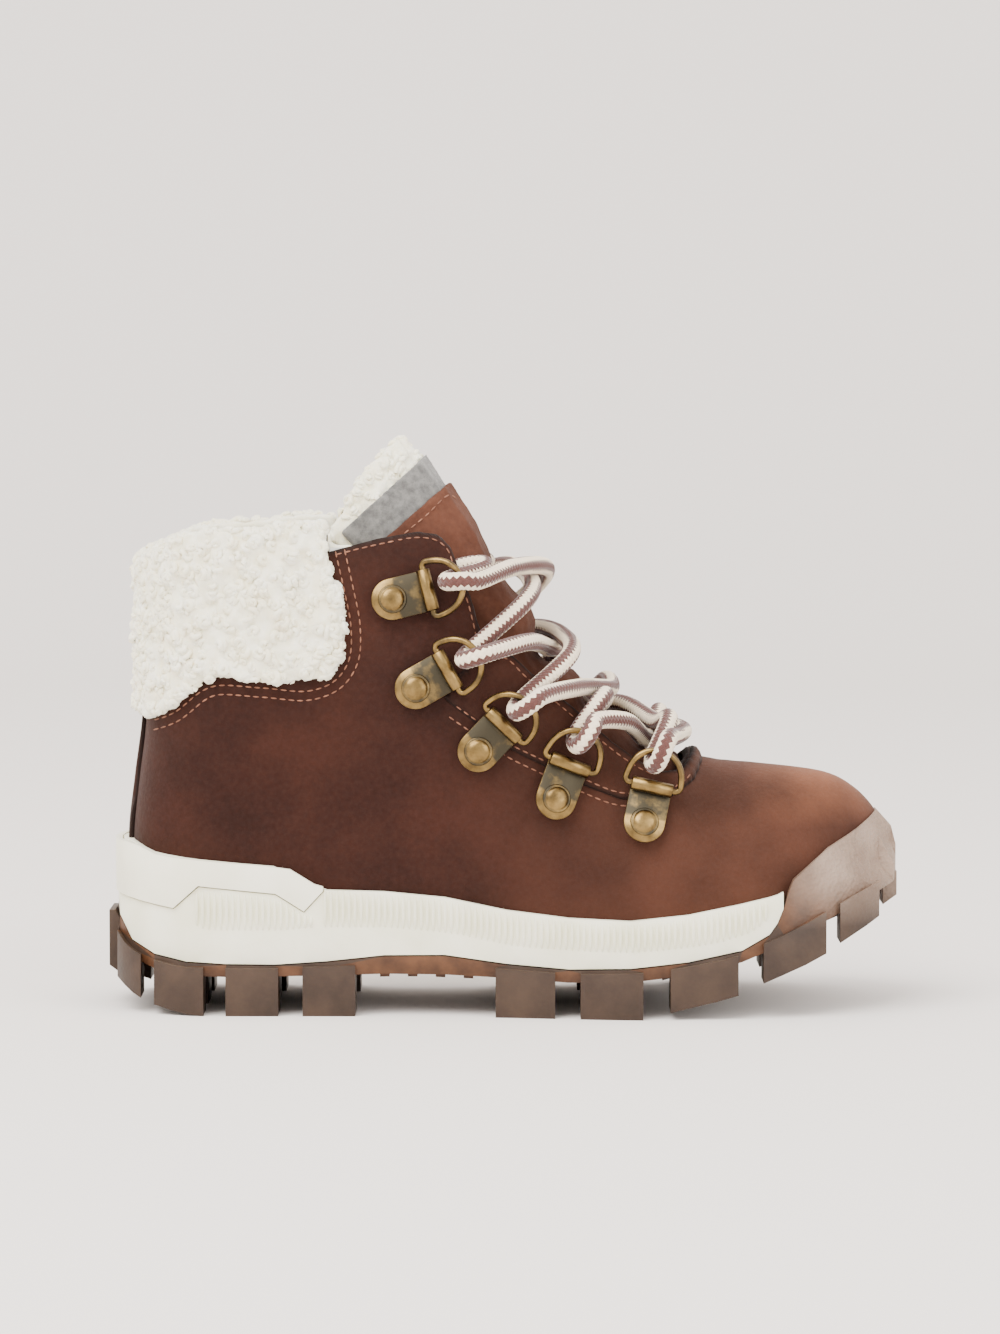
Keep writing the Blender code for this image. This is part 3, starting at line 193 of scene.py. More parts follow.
def tube_rings(path, radius, sides, closed=False, roll=None):
    """Rings of points round a path, with no twist. radius is a number or an array per ring and side."""
    count = len(path)
    if closed:
        tangent = np.roll(path, -1, 0) - np.roll(path, 1, 0)
    else:
        tangent = np.gradient(path, axis=0)
    tangent /= np.linalg.norm(tangent, axis=1, keepdims=True)
    across = np.array(roll if roll is not None else Vector(tangent[0]).orthogonal(), float)
    angle = np.linspace(0, 2 * math.pi, sides, endpoint=False)
    radius = np.broadcast_to(radius, (count, sides))
    rings = np.zeros((count, sides, 3))
    for k in range(count):
        across = across - tangent[k] * across.dot(tangent[k])
        across /= np.linalg.norm(across)
        other = np.cross(tangent[k], across)
        rings[k] = (path[k] + np.outer(radius[k] * np.cos(angle), across)
                    + np.outer(radius[k] * np.sin(angle), other))
    return rings


def loft(name, rings, material, around=False, uv_length=None):
    """Skin closed rings of points one after the other; the ends are capped unless the rows close up."""
    rings = np.asarray(rings, float)
    count, sides, _ = rings.shape
    i = np.arange(count if around else count - 1)[:, None]
    j = np.arange(sides)[None, :]
    after = (i + 1) % count
    corners = [i * sides + j, i * sides + (j + 1) % sides, after * sides + (j + 1) % sides, after * sides + j]
    corners = np.stack([c + 0 * i + 0 * j for c in corners], -1).reshape(-1, 4)
    first = rings.reshape(-1, 3)
    a, b, c, d = (first[corners[:, k]] for k in range(4))
    centre = first.mean(0)
    volume = (np.cross(b - centre, c - centre) * (a - centre)).sum() + (np.cross(c - centre, d - centre)
                                                                         * (a - centre)).sum()
    faces = corners.tolist()
    if not around:
        faces.append(list(range(sides))[::-1])
        faces.append(list(range((count - 1) * sides, count * sides)))
    if volume < 0:
        faces = [face[::-1] for face in faces]
    piece = mesh_piece(name, first, faces, material)
    if uv_length is not None:
        layer = piece.data.uv_layers.new(name="braid")
        loops = np.zeros(len(piece.data.loops), int)
        piece.data.loops.foreach_get("vertex_index", loops)
        ring, side = loops // sides, (loops % sides).astype(float)
        starts = np.repeat([p.loop_start for p in piece.data.polygons],
                           [p.loop_total for p in piece.data.polygons])
        totals = np.repeat([p.loop_total for p in piece.data.polygons],
                           [p.loop_total for p in piece.data.polygons])
        wraps = np.zeros(len(loops), bool)
        face_side = loops % sides
        for k in range(4):
            wraps |= face_side[np.minimum(starts + k, len(loops) - 1)] == sides - 1
        side = np.where(wraps & (side < 1) & (totals == 4), sides, side)
        uv = np.stack([side / sides, uv_length[ring]], 1)
        layer.data.foreach_set("uv", uv.astype(np.float32).ravel())
    return piece


def calc(tree, operation, a, b=0.0, c=0.0):
    """Math node: a, b and c are numbers or sockets."""
    node = tree.nodes.new("ShaderNodeMath")
    node.operation = operation
    for socket, value in zip(node.inputs, (a, b, c)):
        if isinstance(value, bpy.types.NodeSocket):
            tree.links.new(value, socket)
        else:
            socket.default_value = value
    return node.outputs[0]


def blended(tree, share, a, b):
    """Mix of two colours; each value is a number, a colour or a socket."""
    node = tree.nodes.new("ShaderNodeMix")
    node.data_type = "RGBA"
    for socket, value in ((node.inputs[0], share), (node.inputs[6], a), (node.inputs[7], b)):
        if isinstance(value, bpy.types.NodeSocket):
            tree.links.new(value, socket)
        else:
            socket.default_value = value
    return node.outputs[2]


def placed(tree, name="Object"):
    return tree.nodes.new("ShaderNodeTexCoord").outputs[name]


def noise(tree, vector, scale, detail=2.0, rough=0.5, stretch=None):
    if stretch:
        mapping = tree.nodes.new("ShaderNodeMapping")
        mapping.inputs["Scale"].default_value = stretch
        tree.links.new(vector, mapping.inputs["Vector"])
        vector = mapping.outputs[0]
    node = tree.nodes.new("ShaderNodeTexNoise")
    node.inputs["Scale"].default_value = scale
    node.inputs["Detail"].default_value = detail
    node.inputs["Roughness"].default_value = rough
    tree.links.new(vector, node.inputs["Vector"])
    return node.outputs["Fac"]


def spread(tree, value, low, high, to_low=0.0, to_high=1.0):
    node = tree.nodes.new("ShaderNodeMapRange")
    for socket, number in zip(node.inputs[1:5], (low, high, to_low, to_high)):
        socket.default_value = number
    tree.links.new(value, node.inputs[0])
    return node.outputs[0]


def bumped(tree, shader, height, strength, distance):
    node = tree.nodes.new("ShaderNodeBump")
    node.inputs["Strength"].default_value = strength
    node.inputs["Distance"].default_value = distance
    tree.links.new(height, node.inputs["Height"])
    tree.links.new(node.outputs[0], shader.inputs["Normal"])


def lace_height(turn, run):
    """Height of the braid, 0 to 1, and which bundle of which set lies on top."""
    one = turn * CARRIERS / 2 + run * CARRIERS / 2 / LAY_LENGTH
    two = turn * CARRIERS / 2 - run * CARRIERS / 2 / LAY_LENGTH
    top = (np.floor(one) + np.floor(two)) % 2
    across = np.where(top > 0.5, one, two) % 1.0
    return np.sin(math.pi * across) ** 0.6


lace_path, lace_run = smooth_line([(x * MM, y * MM, z * MM) for x, y, z in LACE_KNOTS], 0.00042)
LACE_SIDES = 18
STRIPES = 3
ZIGZAG = 0.00125
turn = np.arange(LACE_SIDES)[None, :] / LACE_SIDES
relief = lace_height(turn + 0.01, lace_run[:, None])
lace_rings = tube_rings(lace_path, LACE / 2 - 0.0002 + 0.00026 * relief, LACE_SIDES)
yarn, yarn_tree, yarn_shader = plain_material("lace_yarn", tone(150, 110, 95), 0.85)
separate = yarn_tree.nodes.new("ShaderNodeSeparateXYZ")
yarn_tree.links.new(placed(yarn_tree, "UV"), separate.inputs[0])
around_turns = calc(yarn_tree, "MULTIPLY", separate.outputs[0], CARRIERS / 2)
along_turns = calc(yarn_tree, "MULTIPLY", separate.outputs[1], CARRIERS / 2 / LAY_LENGTH)
set_one = calc(yarn_tree, "ADD", around_turns, along_turns)
set_two = calc(yarn_tree, "SUBTRACT", around_turns, along_turns)
first_bundle = calc(yarn_tree, "FLOOR", set_one)
second_bundle = calc(yarn_tree, "FLOOR", set_two)
over_one = calc(yarn_tree, "FLOORED_MODULO", calc(yarn_tree, "ADD", first_bundle, second_bundle), 2.0)
zigzag = calc(yarn_tree, "PINGPONG", calc(yarn_tree, "MULTIPLY", separate.outputs[1], 1 / ZIGZAG), 0.5)
stripe = calc(yarn_tree, "FLOORED_MODULO", calc(
    yarn_tree, "ADD", calc(yarn_tree, "MULTIPLY", separate.outputs[0], STRIPES),
    calc(yarn_tree, "MULTIPLY", zigzag, 0.36)), 1.0)
brown = calc(yarn_tree, "LESS_THAN", stripe, 0.52)
fuzz = noise(yarn_tree, placed(yarn_tree), 2600, 3)
brown_yarn = blended(yarn_tree, fuzz, tone(56, 24, 19), tone(96, 52, 44))
cream_yarn = blended(yarn_tree, fuzz, tone(212, 192, 166), tone(248, 234, 208))
yarn_tree.links.new(blended(yarn_tree, brown, cream_yarn, brown_yarn), yarn_shader.inputs["Base Color"])
across_one = calc(yarn_tree, "FLOORED_MODULO", set_one, 1.0)
across_two = calc(yarn_tree, "FLOORED_MODULO", set_two, 1.0)
across_top = calc(yarn_tree, "ADD", calc(yarn_tree, "MULTIPLY", over_one, across_one),
                  calc(yarn_tree, "MULTIPLY", calc(yarn_tree, "SUBTRACT", 1.0, over_one), across_two))
bundle_height = calc(yarn_tree, "SINE", calc(yarn_tree, "MULTIPLY", across_top, math.pi))
yarn_height = calc(yarn_tree, "ADD", bundle_height, calc(yarn_tree, "MULTIPLY", fuzz, 0.5))
bumped(yarn_tree, yarn_shader, yarn_height, 0.6, 0.0003)
yarn_shader.inputs["Sheen Weight"].default_value = 0.25
lace = loft("braided_lace", lace_rings, yarn, uv_length=lace_run)
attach(lace, "boot")
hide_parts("lace")
aglets = [frame["nodes"]["aglet_lateral"], frame["nodes"]["aglet_medial"]]
tip_plastic, tip_tree, tip_shader = plain_material("aglet_plastic", tone(88, 66, 56), 0.28)
tip_mottle = noise(tip_tree, placed(tip_tree), 500, 3)
tip_tree.links.new(blended(tip_tree, tip_mottle, tone(78, 56, 46), tone(98, 74, 62)),
                   tip_shader.inputs["Base Color"])
tip_tree.links.new(spread(tip_tree, tip_mottle, 0.3, 0.7, 0.22, 0.36), tip_shader.inputs["Roughness"])
for aglet in aglets:
    aglet.data.materials.clear()
    aglet.data.materials.append(tip_plastic)


# ---- lace hooks ---------------------------------------------------------------------------------
# Each hook is a strip of antiqued brass folded round the straight side of a D-ring and riveted
# through the upper. The rings hang free in their folds and the lace runs through them.
PLATE_HALF = 0.0052
PLATE_SHEET = 0.0007
PLATE_REACH = 0.0090
WIRE = 0.0008
RING_HALF_WIDTH = 0.00695
RING_DEPTH = 0.0092
RING_LIFT = math.radians(27)
BORE = WIRE + 0.00025
PLATE_BEVEL = 0.00016
RING_CORNER = 0.0013
RIVET_SIDES = 36


def shader_group(name, inputs, outputs):
    """Empty shader group with named sockets, and its inside input and output sockets."""
    group = bpy.data.node_groups.new(name, "ShaderNodeTree")
    for label, kind, value in inputs:
        socket = group.interface.new_socket(label, in_out="INPUT", socket_type=kind)
        if value is not None:
            socket.default_value = value
    for label, kind in outputs:
        group.interface.new_socket(label, in_out="OUTPUT", socket_type=kind)
    return group, group.nodes.new("NodeGroupInput").outputs, group.nodes.new("NodeGroupOutput").inputs


def use_group(tree, group, **values):
    node = tree.nodes.new("ShaderNodeGroup")
    node.node_tree = group
    for label, value in values.items():
        socket = node.inputs[label.replace("_", " ")]
        if isinstance(value, bpy.types.NodeSocket):
            tree.links.new(value, socket)
        else:
            socket.default_value = value
    return node.outputs


mottle, inside, outside = shader_group(
    "mottle", [("Place", "NodeSocketVector", None), ("Dark", "NodeSocketColor", (0, 0, 0, 1)),
               ("Light", "NodeSocketColor", (1, 1, 1, 1)), ("Patch", "NodeSocketFloat", 40.0),
               ("Fleck", "NodeSocketFloat", 900.0), ("Fleck Share", "NodeSocketFloat", 0.3)],
    [("Colour", "NodeSocketColor"), ("Mask", "NodeSocketFloat")])
patch_noise = mottle.nodes.new("ShaderNodeTexNoise")
patch_noise.inputs["Detail"].default_value = 4
mottle.links.new(inside["Place"], patch_noise.inputs["Vector"])
mottle.links.new(inside["Patch"], patch_noise.inputs["Scale"])
fleck_noise = mottle.nodes.new("ShaderNodeTexNoise")
fleck_noise.inputs["Detail"].default_value = 3
mottle.links.new(inside["Place"], fleck_noise.inputs["Vector"])
mottle.links.new(inside["Fleck"], fleck_noise.inputs["Scale"])
mottle_mask = spread(mottle, patch_noise.outputs["Fac"], 0.32, 0.68)
fleck_part = calc(mottle, "MULTIPLY", calc(mottle, "SUBTRACT", fleck_noise.outputs["Fac"], 0.5),
                  inside["Fleck Share"])
mottle_mask = calc(mottle, "ADD", mottle_mask, fleck_part)
mottle.links.new(mottle_mask, outside["Mask"])
mottle.links.new(blended(mottle, mottle_mask, inside["Dark"], inside["Light"]), outside["Colour"])

brass, brass_tree, brass_shader = plain_material("antique_brass", tone(116, 94, 58), 0.35)
wear = brass_tree.nodes.new("ShaderNodeAttribute")
wear.attribute_name = "wear"
brass_mottle = use_group(brass_tree, mottle, Place=placed(brass_tree), Dark=tone(94, 75, 45),
                         Light=tone(138, 114, 70), Patch=260.0, Fleck=1800.0, Fleck_Share=0.5)
polish = calc(brass_tree, "ADD", wear.outputs["Fac"],
              calc(brass_tree, "MULTIPLY", calc(brass_tree, "SUBTRACT", brass_mottle["Mask"], 0.5), 0.5))
polish = spread(brass_tree, polish, 0.25, 0.8)
brass_tree.links.new(blended(brass_tree, polish, tone(64, 59, 48), brass_mottle["Colour"]),
                     brass_shader.inputs["Base Color"])
brass_tree.links.new(spread(brass_tree, polish, 0, 1, 0.5, 0.3), brass_shader.inputs["Roughness"])
brass_shader.inputs["Metallic"].default_value = 1.0
bumped(brass_tree, brass_shader, noise(brass_tree, placed(brass_tree), 1500, 4), 0.15, 0.0001)


def worn(piece, values):
    """Store how far each point's patina is rubbed off."""
    layer = piece.data.attributes.new("wear", "FLOAT", "POINT")
    layer.data.foreach_set("value", np.asarray(values, np.float32))


def hook_matrix(ring_name, joint):
    """Frame at the middle of the fold: X to the rivet, Y along the fold, Z away from the upper."""
    centre = Vector(joint["pos_m"])
    along = Vector(joint["axis"]).normalized()
    corners = [v.co for v in frame["nodes"][ring_name].data.vertices]
    middle_of_ring = sum(corners, Vector()) / len(corners)
    out = middle_of_ring - centre
    out = (out - along * out.dot(along)).normalized()
    towards = -(Matrix.Rotation(-RING_LIFT, 3, along) @ out)
    return Matrix.Translation(centre) @ Matrix((towards, along, towards.cross(along))).transposed().to_4x4()


def plate_rings():
    """Cross-sections of the folded strip, from the round end along the flat and round the wire."""
    line = [(PLATE_REACH + PLATE_HALF * math.sin(a), -BORE - PLATE_SHEET / 2, PLATE_HALF * math.cos(a))
            for a in np.linspace(math.pi / 2 - 0.04, 0, 12)]
    line += [(x, -BORE - PLATE_SHEET / 2, PLATE_HALF) for x in np.linspace(PLATE_REACH - 0.0006, 0.0008, 9)]
    middle_radius = BORE + PLATE_SHEET / 2
    line += [(middle_radius * math.cos(a), middle_radius * math.sin(a), PLATE_HALF)
             for a in np.radians(np.linspace(-90, -372, 22))]
    line = np.array(line)
    rings = []
    for k, (x, z, half) in enumerate(line):
        step = line[min(k + 1, len(line) - 1)] - line[max(k - 1, 0)]
        length = math.hypot(step[0], step[1])
        nx, nz = -step[1] / length, step[0] / length
        thick = PLATE_SHEET / 2
        side = half - PLATE_BEVEL
        face = thick - PLATE_BEVEL
        ring = [(half, face), (side, thick), (-side, thick), (-half, face), (-half, -face), (-side, -thick),
                (side, -thick), (half, -face)]
        rings.append([(x + nx * n, y, z + nz * n) for y, n in ring])
    return np.array(rings), line


def turned_rings(profile, sides=RIVET_SIDES):
    """Rings of a solid turned about Z from (radius, height) pairs."""
    angle = np.linspace(0, 2 * math.pi, sides, endpoint=False)
    return np.array([[(r * math.cos(a), r * math.sin(a), h) for a in angle] for r, h in profile])


def closed_up(piece):
    """Merge the points of each pole and turn all faces outwards."""
    work = bmesh.new()
    work.from_mesh(piece.data)
    bmesh.ops.remove_doubles(work, verts=work.verts, dist=0.0000005)
    bmesh.ops.dissolve_degenerate(work, edges=work.edges, dist=0.0000001)
    bmesh.ops.recalc_face_normals(work, faces=work.faces)
    work.to_mesh(piece.data)
    work.free()


def at_place(rings, matrix):
    m = np.array(matrix)
    return rings @ m[:3, :3].T + m[:3, 3]


D_STRAIGHT = RING_HALF_WIDTH - RING_CORNER
d_line = [(0.0, y) for y in np.linspace(-D_STRAIGHT, D_STRAIGHT, 8)]
d_corner = [(RING_CORNER - RING_CORNER * math.cos(a), D_STRAIGHT + RING_CORNER * math.sin(a))
            for a in np.linspace(0.3, math.pi / 2, 5)]
d_line += d_corner
d_line += [(RING_DEPTH * math.sin(a) ** 0.75, RING_HALF_WIDTH * math.cos(a))
           for a in np.linspace(0.12, math.pi - 0.12, 30)]
d_line += [(depth, -y) for depth, y in reversed(d_corner)]
d_path = np.array([(-depth * math.cos(RING_LIFT), y, depth * math.sin(RING_LIFT)) for depth, y in d_line])
ring_normal = (math.sin(RING_LIFT), 0, math.cos(RING_LIFT))
d_rings = tube_rings(d_path, WIRE, 12, closed=True, roll=ring_normal)
plate_sections, plate_line = plate_rings()
plate_wear = np.array([[1.0 if z > -BORE or x < 0.0008 else 0.25 + 0.75 * (x > PLATE_REACH - 0.001)]
                       * len(plate_sections[0]) for x, z, half in plate_line])
plate_wear[:, [0, 3, 4, 7]] = 1.0
rivet_profile = [(0.0, 0.0), (0.00355, 0.0), (0.00362, 0.00018), (0.00350, 0.00040), (0.00322, 0.00052),
                 (0.00300, 0.00050), (0.00285, 0.00066), (0.00255, 0.00098), (0.00200, 0.00125),
                 (0.00130, 0.00141), (0.00060, 0.00148), (0.0, 0.0015)]
ring_joints = {joint["child"]: joint for joint in frame["joints"] if joint["child"].startswith("d_ring")}
for ring_name, joint in ring_joints.items():
    label = ring_name[len("d_ring_"):]
    matrix = hook_matrix(ring_name, joint)
    ring = loft("ring_" + label, at_place(d_rings, matrix), brass, around=True)
    worn(ring, np.full(len(ring.data.vertices), 0.75))
    plate = loft("plate_" + label, at_place(plate_sections, matrix), brass)
    worn(plate, plate_wear.ravel())
    seat = matrix @ Matrix.Translation((PLATE_REACH, 0, -BORE + 0.0001))
    rivet = loft("dome_" + label, at_place(turned_rings(rivet_profile), seat), brass)
    worn(rivet, np.repeat([0.9 if h > 0.0006 else 0.45 for r, h in rivet_profile], RIVET_SIDES))
    for piece, body, node in ((ring, ring_name, ring_name), (plate, "boot", "hook_plate_" + label),
                              (rivet, "boot", "rivet_" + label)):
        closed_up(piece)
        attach(piece, body)
        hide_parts(node)


# ---- leather upper ------------------------------------------------------------------------------
# Vamp and quarters in thick brown nubuck, lasted down into the sole, with a rolled edge along the
# top and round the throat. The nap is darker over the quarters and paler towards the toe; the toe top is
# paler still, partly burnish and partly painted highlight, and the cut edges are dark with painted shade
# along them.
def curve(points, across=1.0):
    """Smooth function through points, both in millimetres, that never overshoots them."""
    table = np.array(points, float)
    xs, ys = table[:, 0] * MM * across, table[:, 1] * MM
    secant = np.diff(ys) / np.diff(xs)
    slope = np.concatenate([[secant[0]], np.zeros(len(secant) - 1), [secant[-1]]])
    same = secant[:-1] * secant[1:] > 0
    slope[1:-1][same] = 2 * secant[:-1][same] * secant[1:][same] / (secant[:-1] + secant[1:])[same]

    def value(x):
        x = np.clip(x, xs[0], xs[-1])
        k = np.clip(np.searchsorted(xs, x) - 1, 0, len(xs) - 2)
        h = xs[k + 1] - xs[k]
        t = (x - xs[k]) / h
        return ((1 + 2 * t) * (1 - t) ** 2 * ys[k] + t * (1 - t) ** 2 * h * slope[k]
                + t * t * (3 - 2 * t) * ys[k + 1] - t * t * (1 - t) * h * slope[k + 1])
    return value


share_lateral = curve([(-100, 800), (-45, 800), (-20, 820), (0, 870), (20, 955), (36, 1000), (55, 985),
                       (70, 930), (85, 800), (100, 700)])
share_medial = curve([(-100, 800), (-70, 790), (-45, 765), (-20, 720), (0, 735), (20, 820), (38, 930),
                      (52, 1000), (66, 995), (80, 950), (100, 900)])
cup = curve([(-100, 24), (-60, 23.5), (-30, 22), (0, 18.8), (30, 17.3), (45, 18.4), (60, 22), (75, 28),
             (90, 35), (100, 39.5)])
heel_back = curve([(15, -94.6), (43, -94.4), (58, -92.8), (73, -91), (90, -90.6), (106, -90.8),
                   (125, -89.5), (160, -89)])
ridge = curve([(-100, 250), (-45, 181), (-21, 150), (-13, 137.5), (-2, 123), (8.5, 107), (15.8, 93),
               (27.5, 82.5), (36, 76), (45.2, 68.5), (48, 64.8), (50.3, 62.7), (62.5, 60.9), (73.8, 59.7),
               (80.6, 58.7), (85, 57.3), (89.6, 54.4), (92.9, 51.2), (95, 48.3), (96.4, 45.5), (97, 43)])
crown_depth = curve([(-100, 110), (-40, 95), (-10, 82), (20, 76), (36, 58), (50, 40), (62, 34), (100, 31)])
shaft_half = curve([(-100, 30.5), (-10, 30), (20, 31), (40, 33.6), (100, 33)])
WIDTH = 0.080
UPPER_INSET = 0.0046
TOE_END = 0.097
CAP = 0.158
LEATHER = 0.0016
EDGE_SHADE = 0.0011


def middle(x):
    """Y of the foot's centre line; the shares are in thousandths of half the width."""
    return WIDTH / 4 * (share_medial(x) - share_lateral(x))


def rounded(distance, reach, power=2.35):
    """0 at an edge, 1 once distance has passed reach, with a round corner between."""
    a = np.clip(1 - distance / reach, 0.0, 1.0)
    return (1 - a ** power) ** (1 / power)


def half_width(x, z):
    rise = np.clip((z - 0.045) / 0.040, 0, 1)
    rise = rise * rise * (3 - 2 * rise)
    half = (WIDTH / 4 * (share_medial(x) + share_lateral(x)) - UPPER_INSET) * (1 - rise)
    half = half + shaft_half(x) * rise
    return (half * rounded(ridge(x) - z, crown_depth(x), 2.1) * rounded(x - heel_back(z), 0.030)
            * rounded(TOE_END - x, 0.033))


def form_grid(columns, rows, width, crest, ends=None):
    """Points of a form as [side][column][row] and their outward normals."""
    s = (1 - np.cos(math.pi * np.linspace(0, 1, columns + 1))) / 2
    s = 0.75 * s + 0.25 * np.linspace(0, 1, columns + 1)

    def place(z):
        if ends:
            return ends[0] + s * (ends[1] - ends[0]) + 0 * z
        return heel_back(z) + s * (TOE_END - heel_back(z))
    bottom = cup(place(0.030 + 0 * s))
    top = 0.060 + 0 * s
    for _ in range(6):
        top = np.minimum(crest(place(top)), CAP)
    grid = np.zeros((2, columns + 1, rows + 1, 3))
    for j in range(rows + 1):
        z = bottom + (top - bottom) * (1 - (1 - j / rows) ** 1.6)
        x = place(z)
        half = width(x, z)
        if ends is None:
            half[[0, -1]] = 0.0
        if j == rows:
            half = np.where(top < CAP - 1e-6, 0.0, half)
        for side in (0, 1):
            grid[side, :, j] = np.stack([x, middle(x) + (half if side else -half), z], -1)
    normal = np.cross(np.gradient(grid, axis=1), np.gradient(grid, axis=2))
    normal[1] *= -1
    meeting = np.linalg.norm(grid[0] - grid[1], axis=2) < 1e-7
    for _ in range(6):
        normal /= np.maximum(np.linalg.norm(normal, axis=3, keepdims=True), 1e-12)
        mean = normal[0] + normal[1]
        mean[-1, -1] = mean[-1, -3] + mean[-3, -1]
        normal[0][meeting] = mean[meeting]
        normal[1][meeting] = mean[meeting]
        normal /= np.maximum(np.linalg.norm(normal, axis=3, keepdims=True), 1e-12)
        wide = np.pad(normal, ((0, 0), (1, 1), (1, 1), (0, 0)), mode="edge")
        normal = 2 * normal + wide[:, 2:, 1:-1] + wide[:, :-2, 1:-1] + wide[:, 1:-1, 2:] + wide[:, 1:-1, :-2]
    normal /= np.linalg.norm(normal, axis=3, keepdims=True)
    mean = normal[0] + normal[1]
    mean /= np.maximum(np.linalg.norm(mean, axis=2, keepdims=True), 1e-9)
    normal[0][meeting] = mean[meeting]
    normal[1][meeting] = mean[meeting]
    return grid, normal


def outline_distance(x, z, outline):
    """Distance in metres from side-view points to an outline in millimetres, negative inside it."""
    shape = np.shape(x)
    p = np.stack([np.ravel(x), np.ravel(z)], 1)
    corners = np.array(outline, float) * MM
    nearest = np.full(len(p), 9.0)
    crossings = np.zeros(len(p), int)
    for a, b in zip(corners, np.roll(corners, -1, 0)):
        ab = b - a
        share = np.clip(((p - a) @ ab) / (ab @ ab), 0, 1)
        nearest = np.minimum(nearest, np.linalg.norm(p - a - share[:, None] * ab, axis=1))
        spans = (a[1] > p[:, 1]) != (b[1] > p[:, 1])
        with np.errstate(divide="ignore", invalid="ignore"):
            reach = a[0] + (p[:, 1] - a[1]) * ab[0] / ab[1]
        crossings += spans & (p[:, 0] < reach)
    return np.where(crossings % 2 == 1, -nearest, nearest).reshape(shape)


def skin(name, grid, normal, distance, lift, thick, material):
    """Closed panel of a form where distance is below 0, raised by lift; both are arrays over the grid."""
    sides, columns, rows = grid.shape[:3]
    points = (grid + normal * lift[..., None]).reshape(-1, 3)
    normals = normal.reshape(-1, 3)
    f = distance.reshape(-1)
    number = np.arange(len(points))
    for k in np.nonzero(np.linalg.norm(grid[0] - grid[1], axis=2).ravel() < 1e-7)[0]:
        number[columns * rows + k] = k
    verts = list(points)
    norms = list(normals)
    used = {}
    cuts = {}
    out_verts, out_norms, faces, depths = [], [], [], []

    def vertex(k):
        k = int(number[k])
        if k not in used:
            used[k] = len(out_verts)
            out_verts.append(verts[k])
            out_norms.append(norms[k])
            depths.append(f[k])
        return used[k]

    def cut(a, b):
        a, b = int(number[a]), int(number[b])
        key = (min(a, b), max(a, b))
        if key not in cuts:
            share = f[a] / (f[a] - f[b])
            cuts[key] = len(out_verts)
            out_verts.append(verts[a] + (verts[b] - verts[a]) * share)
            out_norms.append(norms[a] + (norms[b] - norms[a]) * share)
            depths.append(0.0)
        return cuts[key]
    for side in range(sides):
        for i in range(columns - 1):
            base = (side * columns + i) * rows
            for j in range(rows - 1):
                quad = [base + j, base + rows + j, base + rows + j + 1, base + j + 1]
                if side:
                    quad.reverse()
                keep = [f[k] < 0 for k in quad]
                if not any(keep):
                    continue
                face = []
                for k in range(4):
                    a, b = quad[k], quad[(k + 1) % 4]
                    if keep[k]:
                        face.append(vertex(a))
                    if keep[k] != keep[(k + 1) % 4]:
                        face.append(cut(a, b))
                clean = [v for k, v in enumerate(face) if v != face[k - 1]]
                if len(set(clean)) >= 3:
                    faces.append(clean)
    edges = {}
    for face in faces:
        for a, b in zip(face, face[1:] + face[:1]):
            edges[(a, b)] = edges.get((a, b), 0) + 1
    rim = [(a, b) for a, b in edges if (b, a) not in edges]
    count = len(out_verts)
    out_norms = [n / max(np.linalg.norm(n), 1e-9) for n in out_norms]
    out_verts += [v - n * thick for v, n in zip(out_verts, out_norms)]
    faces += [[k + count for k in reversed(face)] for face in faces]
    faces += [[b, a, a + count, b + count] for a, b in rim]
    piece = mesh_piece(name, out_verts, faces, material)
    # Outer points within about a millimetre of a cut edge, and all rim and underside points, take the dark
    # edge colour: dark cut edge plus painted shade along the edge.
    edge = np.ones(len(out_verts), np.float32)
    edge[:count] = np.clip(1.15 + np.array(depths) / EDGE_SHADE, 0, 1)
    piece.data.attributes.new("edge", "FLOAT", "POINT").data.foreach_set("value", edge)
    return piece


def edge_roll(distance, radius):
    """How far a surface drops towards a cut edge that is rolled over."""
    a = np.clip(1 + distance / radius, 0, 1)
    return -radius * (1 - np.sqrt(np.maximum(1 - a * a, 0)))


def soft_noise(points, scale, seed=0, octaves=2):
    """Smooth value noise at points, about -1 to 1, with features about scale metres wide."""
    total = np.zeros(len(points))
    for octave in range(octaves):
        q = points / scale * 2 ** octave + 37.7 * (seed + octave)
        cell = np.floor(q).astype(np.int64)
        t = q - cell
        t = t * t * (3 - 2 * t)
        value = np.zeros(len(points))
        for dx in (0, 1):
            for dy in (0, 1):
                for dz in (0, 1):
                    n = ((cell[:, 0] + dx) * 73856093) ^ ((cell[:, 1] + dy) * 19349663)
                    n = n ^ ((cell[:, 2] + dz) * 83492791)
                    n = (n ^ (n >> 13)) * 1274126177
                    rand = ((n ^ (n >> 16)) & 0xFFFF) / 32767.5 - 1
                    weight = ((t[:, 0] if dx else 1 - t[:, 0]) * (t[:, 1] if dy else 1 - t[:, 1])
                              * (t[:, 2] if dz else 1 - t[:, 2]))
                    value += weight * rand
        total += value / 2 ** octave
    return total


QUARTER_EDGE = [(-43.6, 115.7), (-31.1, 119.1), (-20.7, 120.9), (-15.6, 120.0), (-12.4, 116.8),
                (-10.8, 112.0), (-9.8, 108.5), (-7.7, 104.7), (-5.7, 96.8)]
THROAT_EDGE = [(-3.2, 92), (1.6, 90.5), (6.2, 86.2), (16.4, 77.4), (27, 68.4), (33.3, 63.9), (39, 61),
               (44, 61.2)]
COLLAR_EDGE = [(-43.6, 115.7), (-41.4, 106), (-39.7, 96.9), (-40.2, 89.3), (-43, 85.2), (-48.5, 83),
               (-59.6, 83.7), (-71.4, 84.2), (-76.2, 82.4), (-83.3, 76.8), (-90.9, 73.6), (-104, 72)]
above_upper = QUARTER_EDGE + THROAT_EDGE + [(47.4, 64.5), (47.4, 210), (-60, 210), (-60, 124), (-47, 119)]
